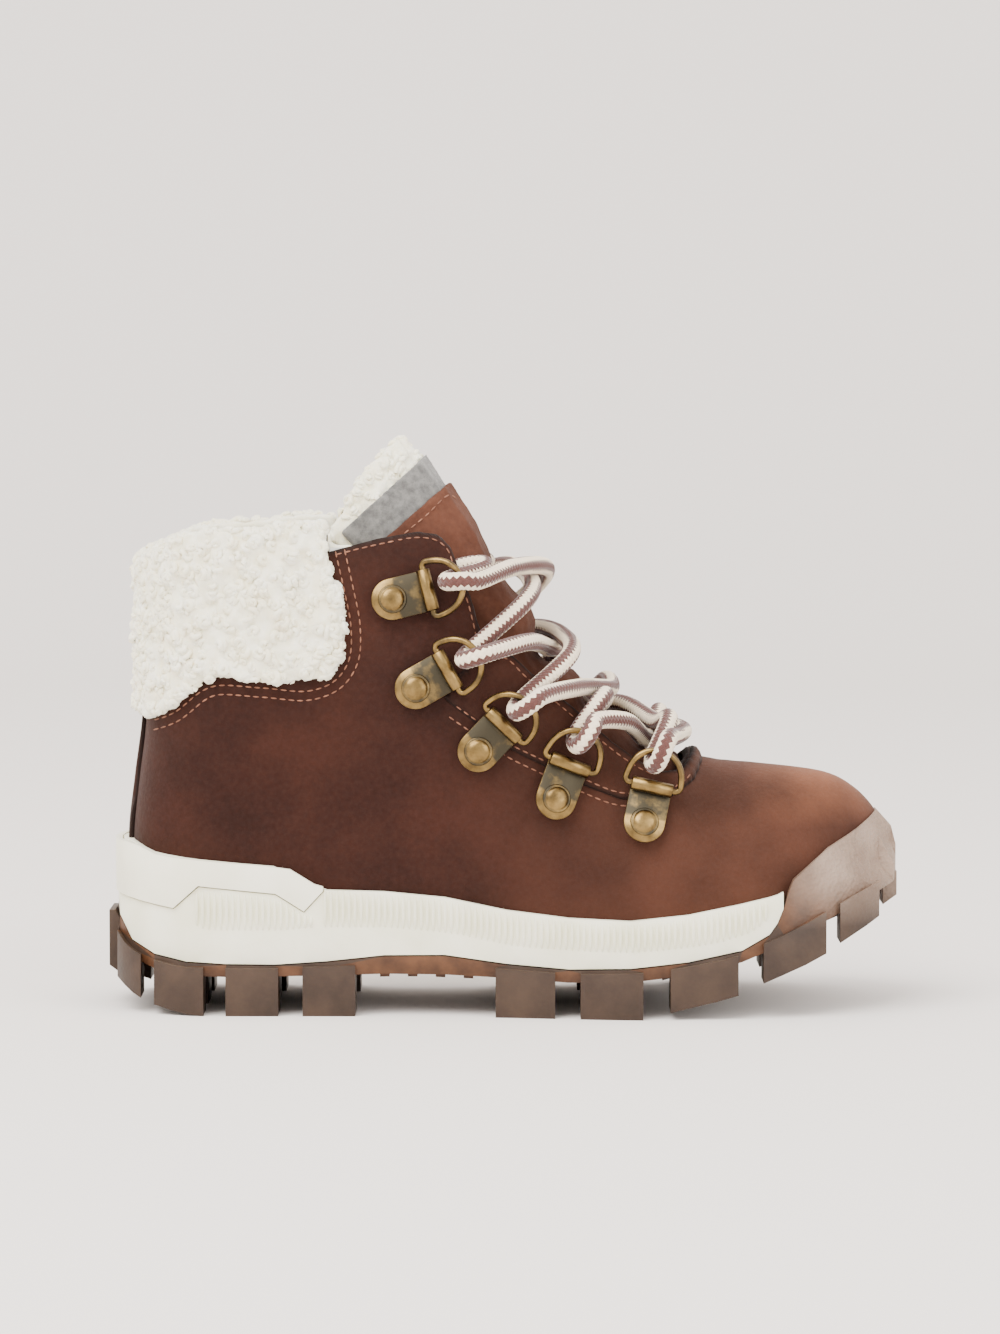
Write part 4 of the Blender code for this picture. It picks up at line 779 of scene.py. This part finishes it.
under_cuff = [(x - 3.0, z + 3.0) for x, z in COLLAR_EDGE] + [(-107, 210), (-46.6, 210)]
foot_grid, foot_normal = form_grid(230, 104, half_width, ridge)
foot_x, foot_z = foot_grid[..., 0], foot_grid[..., 2]
throat_gap = outline_distance(foot_x, foot_z, above_upper)
collar_gap = outline_distance(foot_x, foot_z, under_cuff)
upper_cut = np.maximum(-throat_gap, -collar_gap)
flat = foot_grid.reshape(-1, 3)
creases = np.zeros(foot_x.shape)
CREASES = ((52, 0.25, 0.5), (58, 0.1, 0.35), (46, 0.35, 0.35), (-22, -0.6, 0.35), (-30, -0.8, 0.3))
for crease_x, slant, deep in CREASES:
    line = foot_x - (crease_x * MM + slant * (foot_z - 0.05))
    creases -= deep * MM * np.exp(-(line / 0.0022) ** 2) * np.clip((foot_z - 0.036) / 0.02, 0, 1)
dents = soft_noise(flat, 0.028, 3).reshape(foot_x.shape) * 0.00035
upper_lift = edge_roll(np.maximum(upper_cut, -0.02), 0.0016) + creases * 0.5 + dents
nubuck, nubuck_tree, nubuck_shader = plain_material("nubuck", tone(95, 60, 46), 0.8)


# Toe-top colour: burnish plus painted highlight where the light falls on the top of the toe.
TOE_BURNISH_AND_HIGHLIGHT = tone(124, 78, 55)
# Edge colour: dark cut edge and the painted shade along it.
EDGE_SHADE_AND_CUT_TONE = tone(26, 13, 9)


def nubuck_look(tree, shader, dark, light, toe_dark, toe_light):
    """Brushed leather: broad patches, a fine nap, a paler tone from the vamp to the toe, a paler toe top that
    is burnish plus painted highlight, and dark cut edges with painted shade along them.
    """
    place = placed(tree)
    quarters = use_group(tree, mottle, Place=place, Dark=dark, Light=light, Patch=38.0, Fleck=700.0,
                         Fleck_Share=0.9)
    toe = use_group(tree, mottle, Place=place, Dark=toe_dark, Light=toe_light, Patch=46.0, Fleck=1300.0,
                    Fleck_Share=0.45)
    split = tree.nodes.new("ShaderNodeSeparateXYZ")
    tree.links.new(place, split.inputs[0])
    forward = spread(tree, split.outputs[0], -0.015, 0.05)
    # Paler patch over the top of the toe: partly burnish, partly painted highlight standing in for the light
    # on the toe top.
    toe_top_burnish_and_highlight = calc(tree, "MULTIPLY", spread(tree, split.outputs[0], 0.060, 0.082),
                  spread(tree, split.outputs[2], 0.046, 0.060))
    toe_top_burnish_and_highlight = calc(tree, "MULTIPLY", toe_top_burnish_and_highlight, spread(tree, toe["Mask"], -0.4, 0.8))
    body = blended(tree, forward, quarters["Colour"], toe["Colour"])
    edge = tree.nodes.new("ShaderNodeAttribute")
    edge.attribute_name = "edge"
    body = blended(tree, toe_top_burnish_and_highlight, body, TOE_BURNISH_AND_HIGHLIGHT)
    # Dark cut edges, with a band of painted shade just inside them.
    tree.links.new(blended(tree, edge.outputs["Fac"], body, EDGE_SHADE_AND_CUT_TONE), shader.inputs["Base Color"])
    nap = noise(tree, place, 3200, 3, 0.7)
    pores = noise(tree, place, 900, 4, 0.6)
    bumped(tree, shader, calc(tree, "ADD", nap, calc(tree, "MULTIPLY", pores, 1.5)), 0.22, 0.0003)
    tree.links.new(spread(tree, pores, 0.3, 0.7, 0.72, 0.9), shader.inputs["Roughness"])
    shader.inputs["Sheen Weight"].default_value = 0.04
    shader.inputs["Sheen Roughness"].default_value = 0.4
    shader.inputs["Specular IOR Level"].default_value = 0.15


nubuck_look(nubuck_tree, nubuck_shader, tone(36, 16, 10), tone(52, 26, 18), tone(54, 30, 20),
            tone(72, 42, 30))
upper = skin("nubuck_upper", foot_grid, foot_normal, upper_cut, upper_lift, LEATHER, nubuck)
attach(upper, "boot")
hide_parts("leather_upper")


# ---- facing and backstay ------------------------------------------------------------------------
# A second layer of the same nubuck is laid along the throat to carry the hooks, and a narrow strip
# of it covers the heel seam. Both are stitched down, and their cut edges are dark, with painted shade along
# them.
FACING_SEAM = [(50.4, 62.4), (47.5, 58), (42, 54.6), (29.3, 54), (20.6, 57.2), (9, 62.9), (2.4, 66.2),
               (-8, 74), (-15, 79.3), (-13, 84)]
facing_outline = [(x + 0.2, z - 0.5) for x, z in THROAT_EDGE] + [(47.9, 64.5), (48.6, 70)] + FACING_SEAM
facing_gap = np.maximum(outline_distance(foot_x, foot_z, facing_outline), upper_cut + 0.0004)
FACING_SHEET = 0.0012
STAY_SHEET = 0.0011
facing_lift = 0.0011 + edge_roll(facing_gap, 0.0010) + dents + creases * 0.5
facing = skin("throat_facing_panel", foot_grid, foot_normal, facing_gap, facing_lift, FACING_SHEET, nubuck)
across = foot_grid[..., 1] - middle(foot_x)
stay_gap = np.maximum(np.abs(across) - (0.0052 + 0.05 * (0.08 - foot_z)), foot_z - 0.0765)
stay_gap = np.maximum(stay_gap, foot_x + 0.080)
stay_lift = 0.0010 + edge_roll(stay_gap, 0.0009)
backstay = skin("backstay_strip", foot_grid, foot_normal, stay_gap, stay_lift, STAY_SHEET, nubuck)
for piece, node in ((facing, "throat_facing"), (backstay, "backstay")):
    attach(piece, "boot")
    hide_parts(node)


# ---- pile, felt and tongue ----------------------------------------------------------------------
# The collar is wrapped in curly cream pile over soft foam. The tongue is leather in front, a felt
# layer behind it and pile against the shin; it is padded, so it bulges between the laces.
def mottled(name, dark, light, patch, fleck, share, rough):
    """A material whose colour wanders from dark to light; its node tree and its shader."""
    material, tree, shader = plain_material(name, light, rough)
    look = use_group(tree, mottle, Place=placed(tree), Dark=dark, Light=light, Patch=patch, Fleck=fleck,
                     Fleck_Share=share)
    tree.links.new(look["Colour"], shader.inputs["Base Color"])
    return material, tree, shader


sherpa, sherpa_tree, sherpa_shader = mottled("pile", tone(247, 239, 212), tone(255, 251, 232), 220.0, 2400.0,
                                             0.5, 0.95)
sherpa_shader.inputs["Sheen Weight"].default_value = 0.35
sherpa_shader.inputs["Subsurface Weight"].default_value = 0.35
sherpa_shader.inputs["Subsurface Radius"].default_value = (0.004, 0.0035, 0.003)
sherpa_shader.inputs["Specular IOR Level"].default_value = 0.15
sherpa_fuzz = noise(sherpa_tree, placed(sherpa_tree), 2200, 4, 0.7)
bumped(sherpa_tree, sherpa_shader, sherpa_fuzz, 0.5, 0.0006)
felt, felt_tree, felt_shader = mottled("felt", tone(78, 77, 76), tone(116, 115, 112), 500.0, 3000.0, 0.8,
                                       0.95)
felt_shader.inputs["Sheen Weight"].default_value = 0.3
bumped(felt_tree, felt_shader, noise(felt_tree, placed(felt_tree), 3500, 4, 0.8), 0.4, 0.0004)
# The tongue leather gets paler tones than the upper: painted highlight for the light falling on the tongue.
tongue_lit_leather, tongue_tree, tongue_shader = plain_material("tongue_leather", tone(128, 90, 70), 0.75)
nubuck_look(tongue_tree, tongue_shader, tone(62, 34, 24), tone(90, 55, 41), tone(52, 28, 19),
            tone(72, 42, 30))


def fade(values, start, length):
    """0 up to start, rising to 1 over length."""
    return np.clip((values - start) / length, 0, 1)


def soft_copy(name, node, voxel, smooth_passes, material):
    """Even, closed mesh over a CAD solid, with its points and outward normals."""
    source = frame["nodes"][node]
    piece = bpy.data.objects.new(name, source.data.copy())
    bpy.context.scene.collection.objects.link(piece)
    remesh = piece.modifiers.new("even", "REMESH")
    remesh.mode = "VOXEL"
    remesh.voxel_size = voxel
    remesh.use_smooth_shade = True
    relax = piece.modifiers.new("relax", "SMOOTH")
    relax.iterations = smooth_passes
    relax.factor = 0.5
    solid = bpy.data.meshes.new_from_object(piece.evaluated_get(bpy.context.evaluated_depsgraph_get()))
    piece.modifiers.clear()
    piece.data = solid
    piece.data.materials.clear()
    piece.data.materials.append(material)
    points = np.empty(len(solid.vertices) * 3)
    solid.vertices.foreach_get("co", points)
    normals = np.empty(len(solid.vertices) * 3)
    solid.vertex_normals.foreach_get("vector", normals)
    return piece, points.reshape(-1, 3), normals.reshape(-1, 3)


def set_points(piece, points):
    piece.data.vertices.foreach_set("co", np.asarray(points, np.float32).ravel())
    piece.data.update()


lace_points = np.array(lace_path)[::2]


def repeated(name, places, material, around=8, along=6, curl=False):
    """One mesh of rounded bars, or of curls of yarn, put by a Geometry Nodes tree at every point."""
    mesh = bpy.data.meshes.new(name)
    mesh.from_pydata([p["at"] for p in places], [], [])
    for label, kind in (("turn", "FLOAT_VECTOR"), ("size", "FLOAT_VECTOR")):
        layer = mesh.attributes.new(label, kind, "POINT")
        layer.data.foreach_set("vector", np.array([p[label] for p in places], np.float32).ravel())
    holder = bpy.data.objects.new(name, mesh)
    bpy.context.scene.collection.objects.link(holder)
    tree = bpy.data.node_groups.new(name + "_repeat", "GeometryNodeTree")
    sockets = {}
    for label, kind in (("Geometry", "NodeSocketGeometry"), ("Around", "NodeSocketInt"),
                        ("Along", "NodeSocketInt"), ("Surface", "NodeSocketMaterial")):
        sockets[label] = tree.interface.new_socket(label, in_out="INPUT", socket_type=kind).identifier
    tree.interface.new_socket("Geometry", in_out="OUTPUT", socket_type="NodeSocketGeometry")
    start, end = tree.nodes.new("NodeGroupInput"), tree.nodes.new("NodeGroupOutput")
    bar = tree.nodes.new("GeometryNodeMeshUVSphere")
    bar.inputs["Radius"].default_value = 1.0
    spots = tree.nodes.new("GeometryNodeMeshToPoints")
    put = tree.nodes.new("GeometryNodeInstanceOnPoints")
    real = tree.nodes.new("GeometryNodeRealizeInstances")
    smooth = tree.nodes.new("GeometryNodeSetShadeSmooth")
    coat = tree.nodes.new("GeometryNodeSetMaterial")
    link = tree.links.new
    link(start.outputs["Geometry"], spots.inputs["Mesh"])
    link(spots.outputs[0], put.inputs["Points"])
    link(start.outputs["Around"], bar.inputs["Segments"])
    link(start.outputs["Along"], bar.inputs["Rings"])
    shape = bar.outputs["Mesh"]
    if curl:
        coil = tree.nodes.new("GeometryNodeCurveSpiral")
        for label, value in (("Resolution", 7), ("Rotations", 1.3), ("Start Radius", 1.0),
                             ("End Radius", 0.5), ("Height", 0.9)):
            coil.inputs[label].default_value = value
        yarn_section = tree.nodes.new("GeometryNodeCurvePrimitiveCircle")
        yarn_section.inputs["Resolution"].default_value = 5
        yarn_section.inputs["Radius"].default_value = 0.62
        tube = tree.nodes.new("GeometryNodeCurveToMesh")
        tube.inputs["Fill Caps"].default_value = True
        link(coil.outputs[0], tube.inputs["Curve"])
        link(yarn_section.outputs[0], tube.inputs["Profile Curve"])
        shape = tube.outputs[0]
    link(shape, put.inputs["Instance"])
    for label, socket in (("turn", "Rotation"), ("size", "Scale")):
        read = tree.nodes.new("GeometryNodeInputNamedAttribute")
        read.data_type = "FLOAT_VECTOR"
        read.inputs["Name"].default_value = label
        link(read.outputs["Attribute"], put.inputs[socket])
    link(put.outputs[0], real.inputs[0])
    link(real.outputs[0], smooth.inputs["Geometry"])
    link(smooth.outputs[0], coat.inputs["Geometry"])
    link(start.outputs["Surface"], coat.inputs["Material"])
    link(coat.outputs[0], end.inputs[0])
    modifier = holder.modifiers.new("repeat", "NODES")
    modifier.node_group = tree
    modifier[sockets["Around"]] = around
    modifier[sockets["Along"]] = along
    modifier[sockets["Surface"]] = material
    solid = bpy.data.meshes.new_from_object(holder.evaluated_get(bpy.context.evaluated_depsgraph_get()))
    holder.modifiers.clear()
    holder.data = solid
    return holder


def turned_to(forward, up):
    """Euler angles of a frame whose Z runs forward and whose X points as near up as it can."""
    z = Vector(forward).normalized()
    y = z.cross(Vector(up)).normalized()
    return tuple(Matrix((y.cross(z), y, z)).transposed().to_euler())


def lace_room(points, far=0.02):
    """Distance in metres from each point to the middle of the lace, at most far."""
    room = np.full(len(points), far)
    for start in range(0, len(lace_points), 40):
        part = lace_points[start:start + 40]
        low, high = part.min(0) - far, part.max(0) + far
        near = np.nonzero(np.all((points > low) & (points < high), axis=1))[0]
        if len(near):
            gap = np.linalg.norm(points[near, None] - part[None], axis=2).min(1)
            room[near] = np.minimum(room[near], gap)
    return room


def curls(points, seed, size=0.00125, deep=0.00085):
    """Lumpy height of curled pile."""
    lumps = soft_noise(points, size * 2.2, seed, 1) * 0.6 + soft_noise(points, size, seed + 5, 2) * 0.6
    return np.clip(lumps, -1, 1.2) * deep


cuff, cuff_points, cuff_normals = soft_copy("pile_cuff", "collar_cuff", 0.0007, 8, sherpa)
puff = soft_noise(cuff_points, 0.016, 8, 1) * 0.0006
corner = fade(cuff_points[:, 2], 0.104, 0.018) ** 2 * fade(-cuff_points[:, 0], 0.080, 0.014)
tuck = fade(-cuff_points[:, 2], -0.0775, 0.004) * fade(-cuff_points[:, 0], 0.0885, 0.005)
cuff_points += corner[:, None] * (0.0022, 0, -0.0052) + tuck[:, None] * (0.0026, 0, 0.0008)
cuff_points += cuff_normals * (curls(cuff_points, 21, 0.0017, 0.0012) + puff)[:, None]
set_points(cuff, cuff_points)


def tufts(name, points, normals, keep, count, size, seed):
    """Curls of yarn standing on a pile surface wherever keep is true."""
    random = np.random.default_rng(seed)
    choice = random.choice(np.nonzero(keep)[0], count)
    places = [{"at": tuple(points[k] - normals[k] * size * 0.45),
               "turn": turned_to(normals[k] + random.normal(0, 0.45, 3), random.normal(0, 1, 3)),
               "size": (size * grow, size * grow * 0.9, size * grow * 0.8)}
              for k, grow in zip(choice, random.uniform(0.75, 1.25, count))]
    return repeated(name, places, sherpa, curl=True)


cuff_tufts = tufts("cuff_curls", cuff_points, cuff_normals, cuff_points[:, 2] > 0.07, 1900, 0.0013, 5)
lining, lining_points, lining_normals = soft_copy("pile_lining", "lining", 0.0011, 3, sherpa)
set_points(lining, lining_points + lining_normals * curls(lining_points, 31, 0.0018, 0.0007)[:, None])
footbed_pile, bed_points, bed_normals = soft_copy("pile_footbed", "footbed_cover", 0.0011, 3, sherpa)
set_points(footbed_pile, bed_points + bed_normals * curls(bed_points, 41, 0.0018, 0.0006)[:, None])
back, back_points, back_normals = soft_copy("pile_tongue", "tongue_pile", 0.0008, 5, sherpa)
above = fade(back_points[:, 2], 0.100, 0.02)
set_points(back, back_points + back_normals * (curls(back_points, 51) * (0.25 + 0.75 * above))[:, None])
back_tufts = tufts("tongue_curls", back_points, back_normals, back_points[:, 2] > 0.112, 380, 0.0012, 6)
felt_strip = soft_copy("felt_layer", "tongue_felt", 0.0007, 2, felt)[0]
front, front_points, front_normals = soft_copy("tongue_front", "tongue_leather", 0.00055, 2, tongue_lit_leather)
room = lace_room(front_points)
in_zone = fade(-front_points[:, 2], -0.112, 0.012) * fade(-front_points[:, 0], -0.047, 0.006)
facing_out = np.clip(front_normals[:, 0] + front_normals[:, 2], 0, 1)
inner_side = np.clip(1 - np.abs(front_points[:, 1]) / 0.019, 0, 1) ** 0.5
bulge = np.clip((room - 0.0031) * 0.75, 0, 0.0042) * in_zone * facing_out * inner_side
folds = soft_noise(front_points * (1, 0.4, 1), 0.006, 61, 2) * 0.00035
raised = bulge + folds * fade(room, 0.003, 0.003)
set_points(front, front_points + front_normals * raised[:, None])
for piece, node, body in ((cuff, "collar_cuff", "boot"), (lining, "lining", "boot"),
                          (footbed_pile, "footbed_cover", "boot"), (back, "tongue_pile", "tongue"),
                          (felt_strip, "tongue_felt", "tongue"), (front, "tongue_leather", "tongue")):
    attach(piece, body)
    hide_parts(node)
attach(cuff_tufts, "boot")
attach(back_tufts, "tongue")


# ---- gussets ------------------------------------------------------------------------------------
# Thin folded leather joins each side of the tongue to the throat and keeps snow out.
for side in ("lateral", "medial"):
    gusset, gusset_points, gusset_normals = soft_copy("gusset_fold_" + side, "gusset_" + side, 0.0004, 2,
                                                      nubuck)
    fold = np.sin(gusset_points[:, 0] * 2 * math.pi / 0.011) * 0.0002
    set_points(gusset, gusset_points + gusset_normals * fold[:, None])
    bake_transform(gusset)
    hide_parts("gusset_" + side)


# ---- midsole and stabiliser ---------------------------------------------------------------------
# The midsole is one moulding of cream foam with a band of fine upright ribs between a smooth lower
# band and the upper. The stabiliser is a smooth moulded cup bonded round the heel.
foam, foam_tree, foam_shader = mottled("foam_midsole", tone(228, 226, 200), tone(240, 238, 218), 90.0, 1600.0,
                                       0.4, 0.7)
foam_shader.inputs["Subsurface Weight"].default_value = 0.05
foam_shader.inputs["Subsurface Radius"].default_value = (0.003, 0.002, 0.001)
bumped(foam_tree, foam_shader, noise(foam_tree, placed(foam_tree), 2600, 3), 0.12, 0.0002)
overlay, overlay_tree, overlay_shader = mottled("moulded_overlay", tone(230, 227, 204), tone(241, 238, 219),
                                                70.0, 2000.0, 0.3, 0.55)
bumped(overlay_tree, overlay_shader, noise(overlay_tree, placed(overlay_tree), 3200, 2), 0.08, 0.0002)


def eased_copy(name, node, width, material):
    """Copy of a moulded CAD solid with its sharp edges rounded over."""
    piece = bpy.data.objects.new(name, frame["nodes"][node].data.copy())
    bpy.context.scene.collection.objects.link(piece)
    closed_up(piece)
    ease = piece.modifiers.new("ease", "BEVEL")
    ease.width = width
    ease.segments = 3
    ease.limit_method = "ANGLE"
    ease.angle_limit = math.radians(32)
    ease.harden_normals = False
    solid = bpy.data.meshes.new_from_object(piece.evaluated_get(bpy.context.evaluated_depsgraph_get()))
    piece.modifiers.clear()
    piece.data = solid
    piece.data.materials.clear()
    piece.data.materials.append(material)
    piece.data.shade_smooth()
    piece.data.set_sharp_from_angle(angle=math.radians(35))
    return piece


def wall_finder(node):
    """Function giving the outermost point and normal of a CAD solid at a side-view place."""
    source = frame["nodes"][node].data
    tree = BVHTree.FromPolygons([v.co for v in source.vertices], [p.vertices for p in source.polygons])

    def find(x, z, side):
        point, normal = tree.ray_cast(Vector((x, side * 0.08, z)), Vector((0, -side, 0)))[:2]
        return (np.array(point), np.array(normal)) if point else (None, None)
    return find


EDGE_EASE = 0.0006
midsole = eased_copy("foam_wall", "midsole", 0.0007, foam)
stabiliser = eased_copy("heel_cup", "heel_stabiliser", EDGE_EASE, overlay)
on_midsole = wall_finder("midsole")
rib_top = curve([(-46, 32.2), (-27.6, 30.9), (-13.7, 29.5), (-2, 27), (13.8, 25.1), (26.5, 24.2),
                 (37.6, 24.6), (49.5, 26.6), (61.3, 29), (67, 30)])
rib_foot = curve([(-46, 22.2), (-31, 22.2), (-13.7, 20.9), (6, 17.6), (29.5, 16.8), (49.3, 18.5),
                  (61.3, 21.8), (67, 26)])
window_top = curve([(-78, 30), (-76, 31.6), (-56.8, 29.9), (-50.5, 26.2), (-47, 25)])
window_foot = curve([(-78, 23), (-73, 21.4), (-57, 21.4), (-47, 22.4)])
RIB_PITCH = 0.0015
RIB_SIZE = (0.00105, 0.0005)
RIB_RUNS = ((-0.0445, 0.0665, rib_foot, rib_top), (-0.0765, -0.0475, window_foot, window_top))
ribs = []
for side in (-1, 1):
    for first, last, foot, top in RIB_RUNS:
        for x in np.arange(first, last, RIB_PITCH):
            low, high = float(foot(x)), float(top(x)) - 0.0006
            mid = (low + high) / 2
            centre, out = on_midsole(x, mid, side)
            head = on_midsole(x, high - 0.0004, side)[0]
            base = on_midsole(x, low + 0.0004, side)[0]
            if centre is None or head is None or base is None or high - low < 0.0015:
                continue
            ribs.append({"at": tuple((head + base) / 2 - out * 0.0001), "turn": turned_to(head - base, out),
                         "size": (*RIB_SIZE, (high - low) / 2 + 0.0002)})
rib_band = repeated("rib_band", ribs, foam, 8, 12)
for piece in (midsole, rib_band):
    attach(piece, "boot")
    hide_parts("midsole")
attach(stabiliser, "boot")
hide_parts("heel_stabiliser")


# ---- outsole ------------------------------------------------------------------------------------
# Moulded gum rubber: grey-brown lugs stand out of an amber base, and the toe end is carried up
# into a textured bumper.
gum, gum_tree, gum_shader = plain_material("gum_rubber", tone(135, 115, 98), 0.5)
lug = gum_tree.nodes.new("ShaderNodeAttribute")
lug.attribute_name = "lug"
gum_place = placed(gum_tree)
gum_face = use_group(gum_tree, mottle, Place=gum_place, Dark=tone(44, 31, 23), Light=tone(62, 46, 35),
                     Patch=110.0, Fleck=1200.0, Fleck_Share=0.4)
gum_base = use_group(gum_tree, mottle, Place=gum_place, Dark=tone(56, 33, 18), Light=tone(88, 56, 34),
                     Patch=160.0, Fleck=900.0, Fleck_Share=0.3)
gum_split = gum_tree.nodes.new("ShaderNodeSeparateXYZ")
gum_tree.links.new(gum_place, gum_split.inputs[0])
gum_toe = spread(gum_tree, gum_split.outputs[0], 0.066, 0.082)
gum_high = spread(gum_tree, gum_split.outputs[2], 0.022, 0.034)
bumper_share = calc(gum_tree, "MULTIPLY", gum_toe, gum_high)
bumper_look = use_group(gum_tree, mottle, Place=gum_place, Dark=tone(118, 98, 84), Light=tone(152, 132, 117),
                        Patch=60.0, Fleck=1500.0, Fleck_Share=0.4)
gum_colour = blended(gum_tree, lug.outputs["Fac"], gum_base["Colour"], gum_face["Colour"])
gum_tree.links.new(blended(gum_tree, bumper_share, gum_colour, bumper_look["Colour"]),
                   gum_shader.inputs["Base Color"])
gum_shader.inputs["Specular IOR Level"].default_value = 0.3
gum_shader.inputs["Subsurface Weight"].default_value = 0.08
gum_shader.inputs["Subsurface Radius"].default_value = (0.004, 0.002, 0.001)
pebbles = gum_tree.nodes.new("ShaderNodeTexVoronoi")
pebbles.inputs["Scale"].default_value = 900
gum_tree.links.new(gum_place, pebbles.inputs["Vector"])
pebble_height = calc(gum_tree, "MULTIPLY", pebbles.outputs["Distance"],
                     calc(gum_tree, "ADD", calc(gum_tree, "MULTIPLY", bumper_share, 0.9), 0.1))
bumped(gum_tree, gum_shader, pebble_height, 0.6, 0.0006)
outsole = eased_copy("gum_outsole", "outsole", EDGE_EASE, gum)
LUG_SIDES = [(-97.6, -90.9, 17, 3.8), (-87.4, -74.9, 13.4, 0), (-69.3, -56.2, 11.9, 0), (-50.1, -37, 11.9, 0),
             (-2, 12.8, 11.7, 0), (19.1, 34.6, 11.7, 0), (41.4, 58.2, 14.4, 1), (64.5, 80.4, 21, 8),
             (83.5, 95.2, 28.8, 16)]
lug_shares = []
for polygon in outsole.data.polygons:
    x, y, z = polygon.center / MM
    inside_lug = any(x0 - 0.5 < x < x1 + 0.5 and z < top + 1.8 for x0, x1, top, foot in LUG_SIDES)
    lug_shares.append(1.0 if inside_lug or x < -97 or x > 95 or z < 2.5 else 0.0)
lug_layer = outsole.data.attributes.new("lug", "FLOAT", "FACE")
lug_layer.data.foreach_set("value", np.array(lug_shares, np.float32))
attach(outsole, "boot")
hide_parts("outsole")


# ---- stitching ----------------------------------------------------------------------------------
# Every seam is sewn with a pinkish-tan thread: two rows under the collar, one along the quarter's
# top and front, two along the facing's lower seam, one along the throat, one round its base and
# one across the top of the tongue.
thread, thread_tree, thread_shader = mottled("thread", tone(100, 60, 42), tone(138, 92, 70), 600.0, 5000.0,
                                             0.6, 0.75)
bumped(thread_tree, thread_shader, noise(thread_tree, placed(thread_tree), 6000, 2), 0.4, 0.0001)


def nearest_surface(pieces):
    """Function giving the outermost point and normal of built pieces at a side-view place."""
    trees = [BVHTree.FromPolygons([v.co for v in p.data.vertices], [f.vertices for f in p.data.polygons])
             for p in pieces]

    def find(x, z, side):
        found = [t.ray_cast(Vector((x, side * 0.08, z)), Vector((0, -side, 0))) for t in trees]
        found = [hit for hit in found if hit[0] is not None and hit[0].y * side > 0.001]
        if not found:
            return None, None
        point, normal = max(found, key=lambda hit: hit[0].y * side)[:2]
        return np.array(point), np.array(normal)
    return find


def inset_line(points, inset):
    """Side-view line in millimetres moved to its left by inset."""
    points = np.array(points, float)
    step = np.gradient(points, axis=0)
    step /= np.linalg.norm(step, axis=1, keepdims=True)
    return points + np.stack([-step[:, 1], step[:, 0]], 1) * inset


def stitch_row(line, find, pitch=2.2, length=1.55, thick=0.21):
    """Stitches on both sides of the boot along a side-view line in millimetres."""
    dense = smooth_line([(x, 0.0, z) for x, z in line], 0.05)[0]
    run = np.concatenate([[0], np.cumsum(np.linalg.norm(np.diff(dense, axis=0), axis=1))])
    row = []
    for side in (-1, 1):
        for s in np.arange(pitch / 2, run[-1] - pitch / 2, pitch):
            ends = [np.array([np.interp(s + d, run, dense[:, k]) for k in (0, 2)]) * MM
                    for d in (-length / 2, 0, length / 2)]
            spots = [find(x, z, side) for x, z in ends]
            if any(spot[0] is None for spot in spots):
                continue
            a, b = spots[0][0], spots[2][0]
            if np.linalg.norm(b - a) > 2.2 * length * MM:
                continue
            out = spots[1][1]
            row.append({"at": tuple(spots[1][0] + out * 0.00006), "turn": turned_to(b - a, out),
                        "size": (thick * 0.75 * MM, thick * MM, np.linalg.norm(b - a) / 2)})
    return row


on_leather = nearest_surface([upper, facing, backstay])
collar_line = COLLAR_EDGE[:-1]
quarter_line = [(-42, 114.9), (-31.1, 117.5), (-21.2, 119.1), (-16.6, 118.2), (-14, 115.9), (-12.4, 111.5),
                (-11.4, 107.9), (-9.4, 104.2), (-7.4, 97.0), (-6.6, 93.2)]
facing_row = [(-12, 77.6), (-8, 74.8), (2.4, 67.6), (9, 64.3), (20.6, 58.8), (29.3, 55.7), (40, 56.2)]
base_row = [(42.5, 56.8), (46.2, 59.2), (48.6, 62.6)]
throat_row = [(-5, 90.8), (0.9, 88.9), (5.2, 84.8), (15.4, 76), (26, 67), (32.6, 62.3), (38, 59.6)]
stitches = []
for inset in (1.8, 4.1):
    stitches += stitch_row(inset_line(collar_line, inset), on_leather)
stitches += stitch_row(quarter_line, on_leather)
stitches += stitch_row(facing_row, on_leather) + stitch_row(inset_line(facing_row, -3.2), on_leather)
stitches += stitch_row(base_row, on_leather, 1.8, 1.3) + stitch_row(throat_row, on_leather)
sewing = repeated("stitching", stitches, thread, 8, 6)
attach(sewing, "boot")
on_tongue = nearest_surface([front])
tongue_line = [(-25.2, 119.5), (-19.5, 124.2), (-13.6, 129.2), (-11.6, 127.6)]
tongue_sewing = repeated("tongue_stitching", stitch_row(tongue_line, on_tongue), thread, 8, 6)
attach(tongue_sewing, "tongue")


# ---- hidden layers ------------------------------------------------------------------------------
# Stiffeners, boards and wadding between the shown layers keep simple looks of their own.
HIDDEN = {"heel_counter": (172, 150, 120, 0.8), "toe_puff": (172, 150, 120, 0.8),
          "insole_board": (190, 165, 130, 0.85), "shank": (150, 152, 156, 0.35),
          "footbed": (214, 208, 190, 0.9), "collar_foam": (92, 90, 88, 0.95),
          "insulation_lateral": (228, 228, 224, 0.95), "insulation_medial": (228, 228, 224, 0.95)}
for node, (*screen, rough) in HIDDEN.items():
    darker = tone(*[value * 0.9 for value in screen])
    hidden, _, hidden_shader = mottled("inner_" + node, darker, tone(*screen), 300.0, 3000.0, 0.6,
                                       rough)
    if node == "shank":
        hidden_shader.inputs["Metallic"].default_value = 1.0
    frame["nodes"][node].data.materials.clear()
    frame["nodes"][node].data.materials.append(hidden)
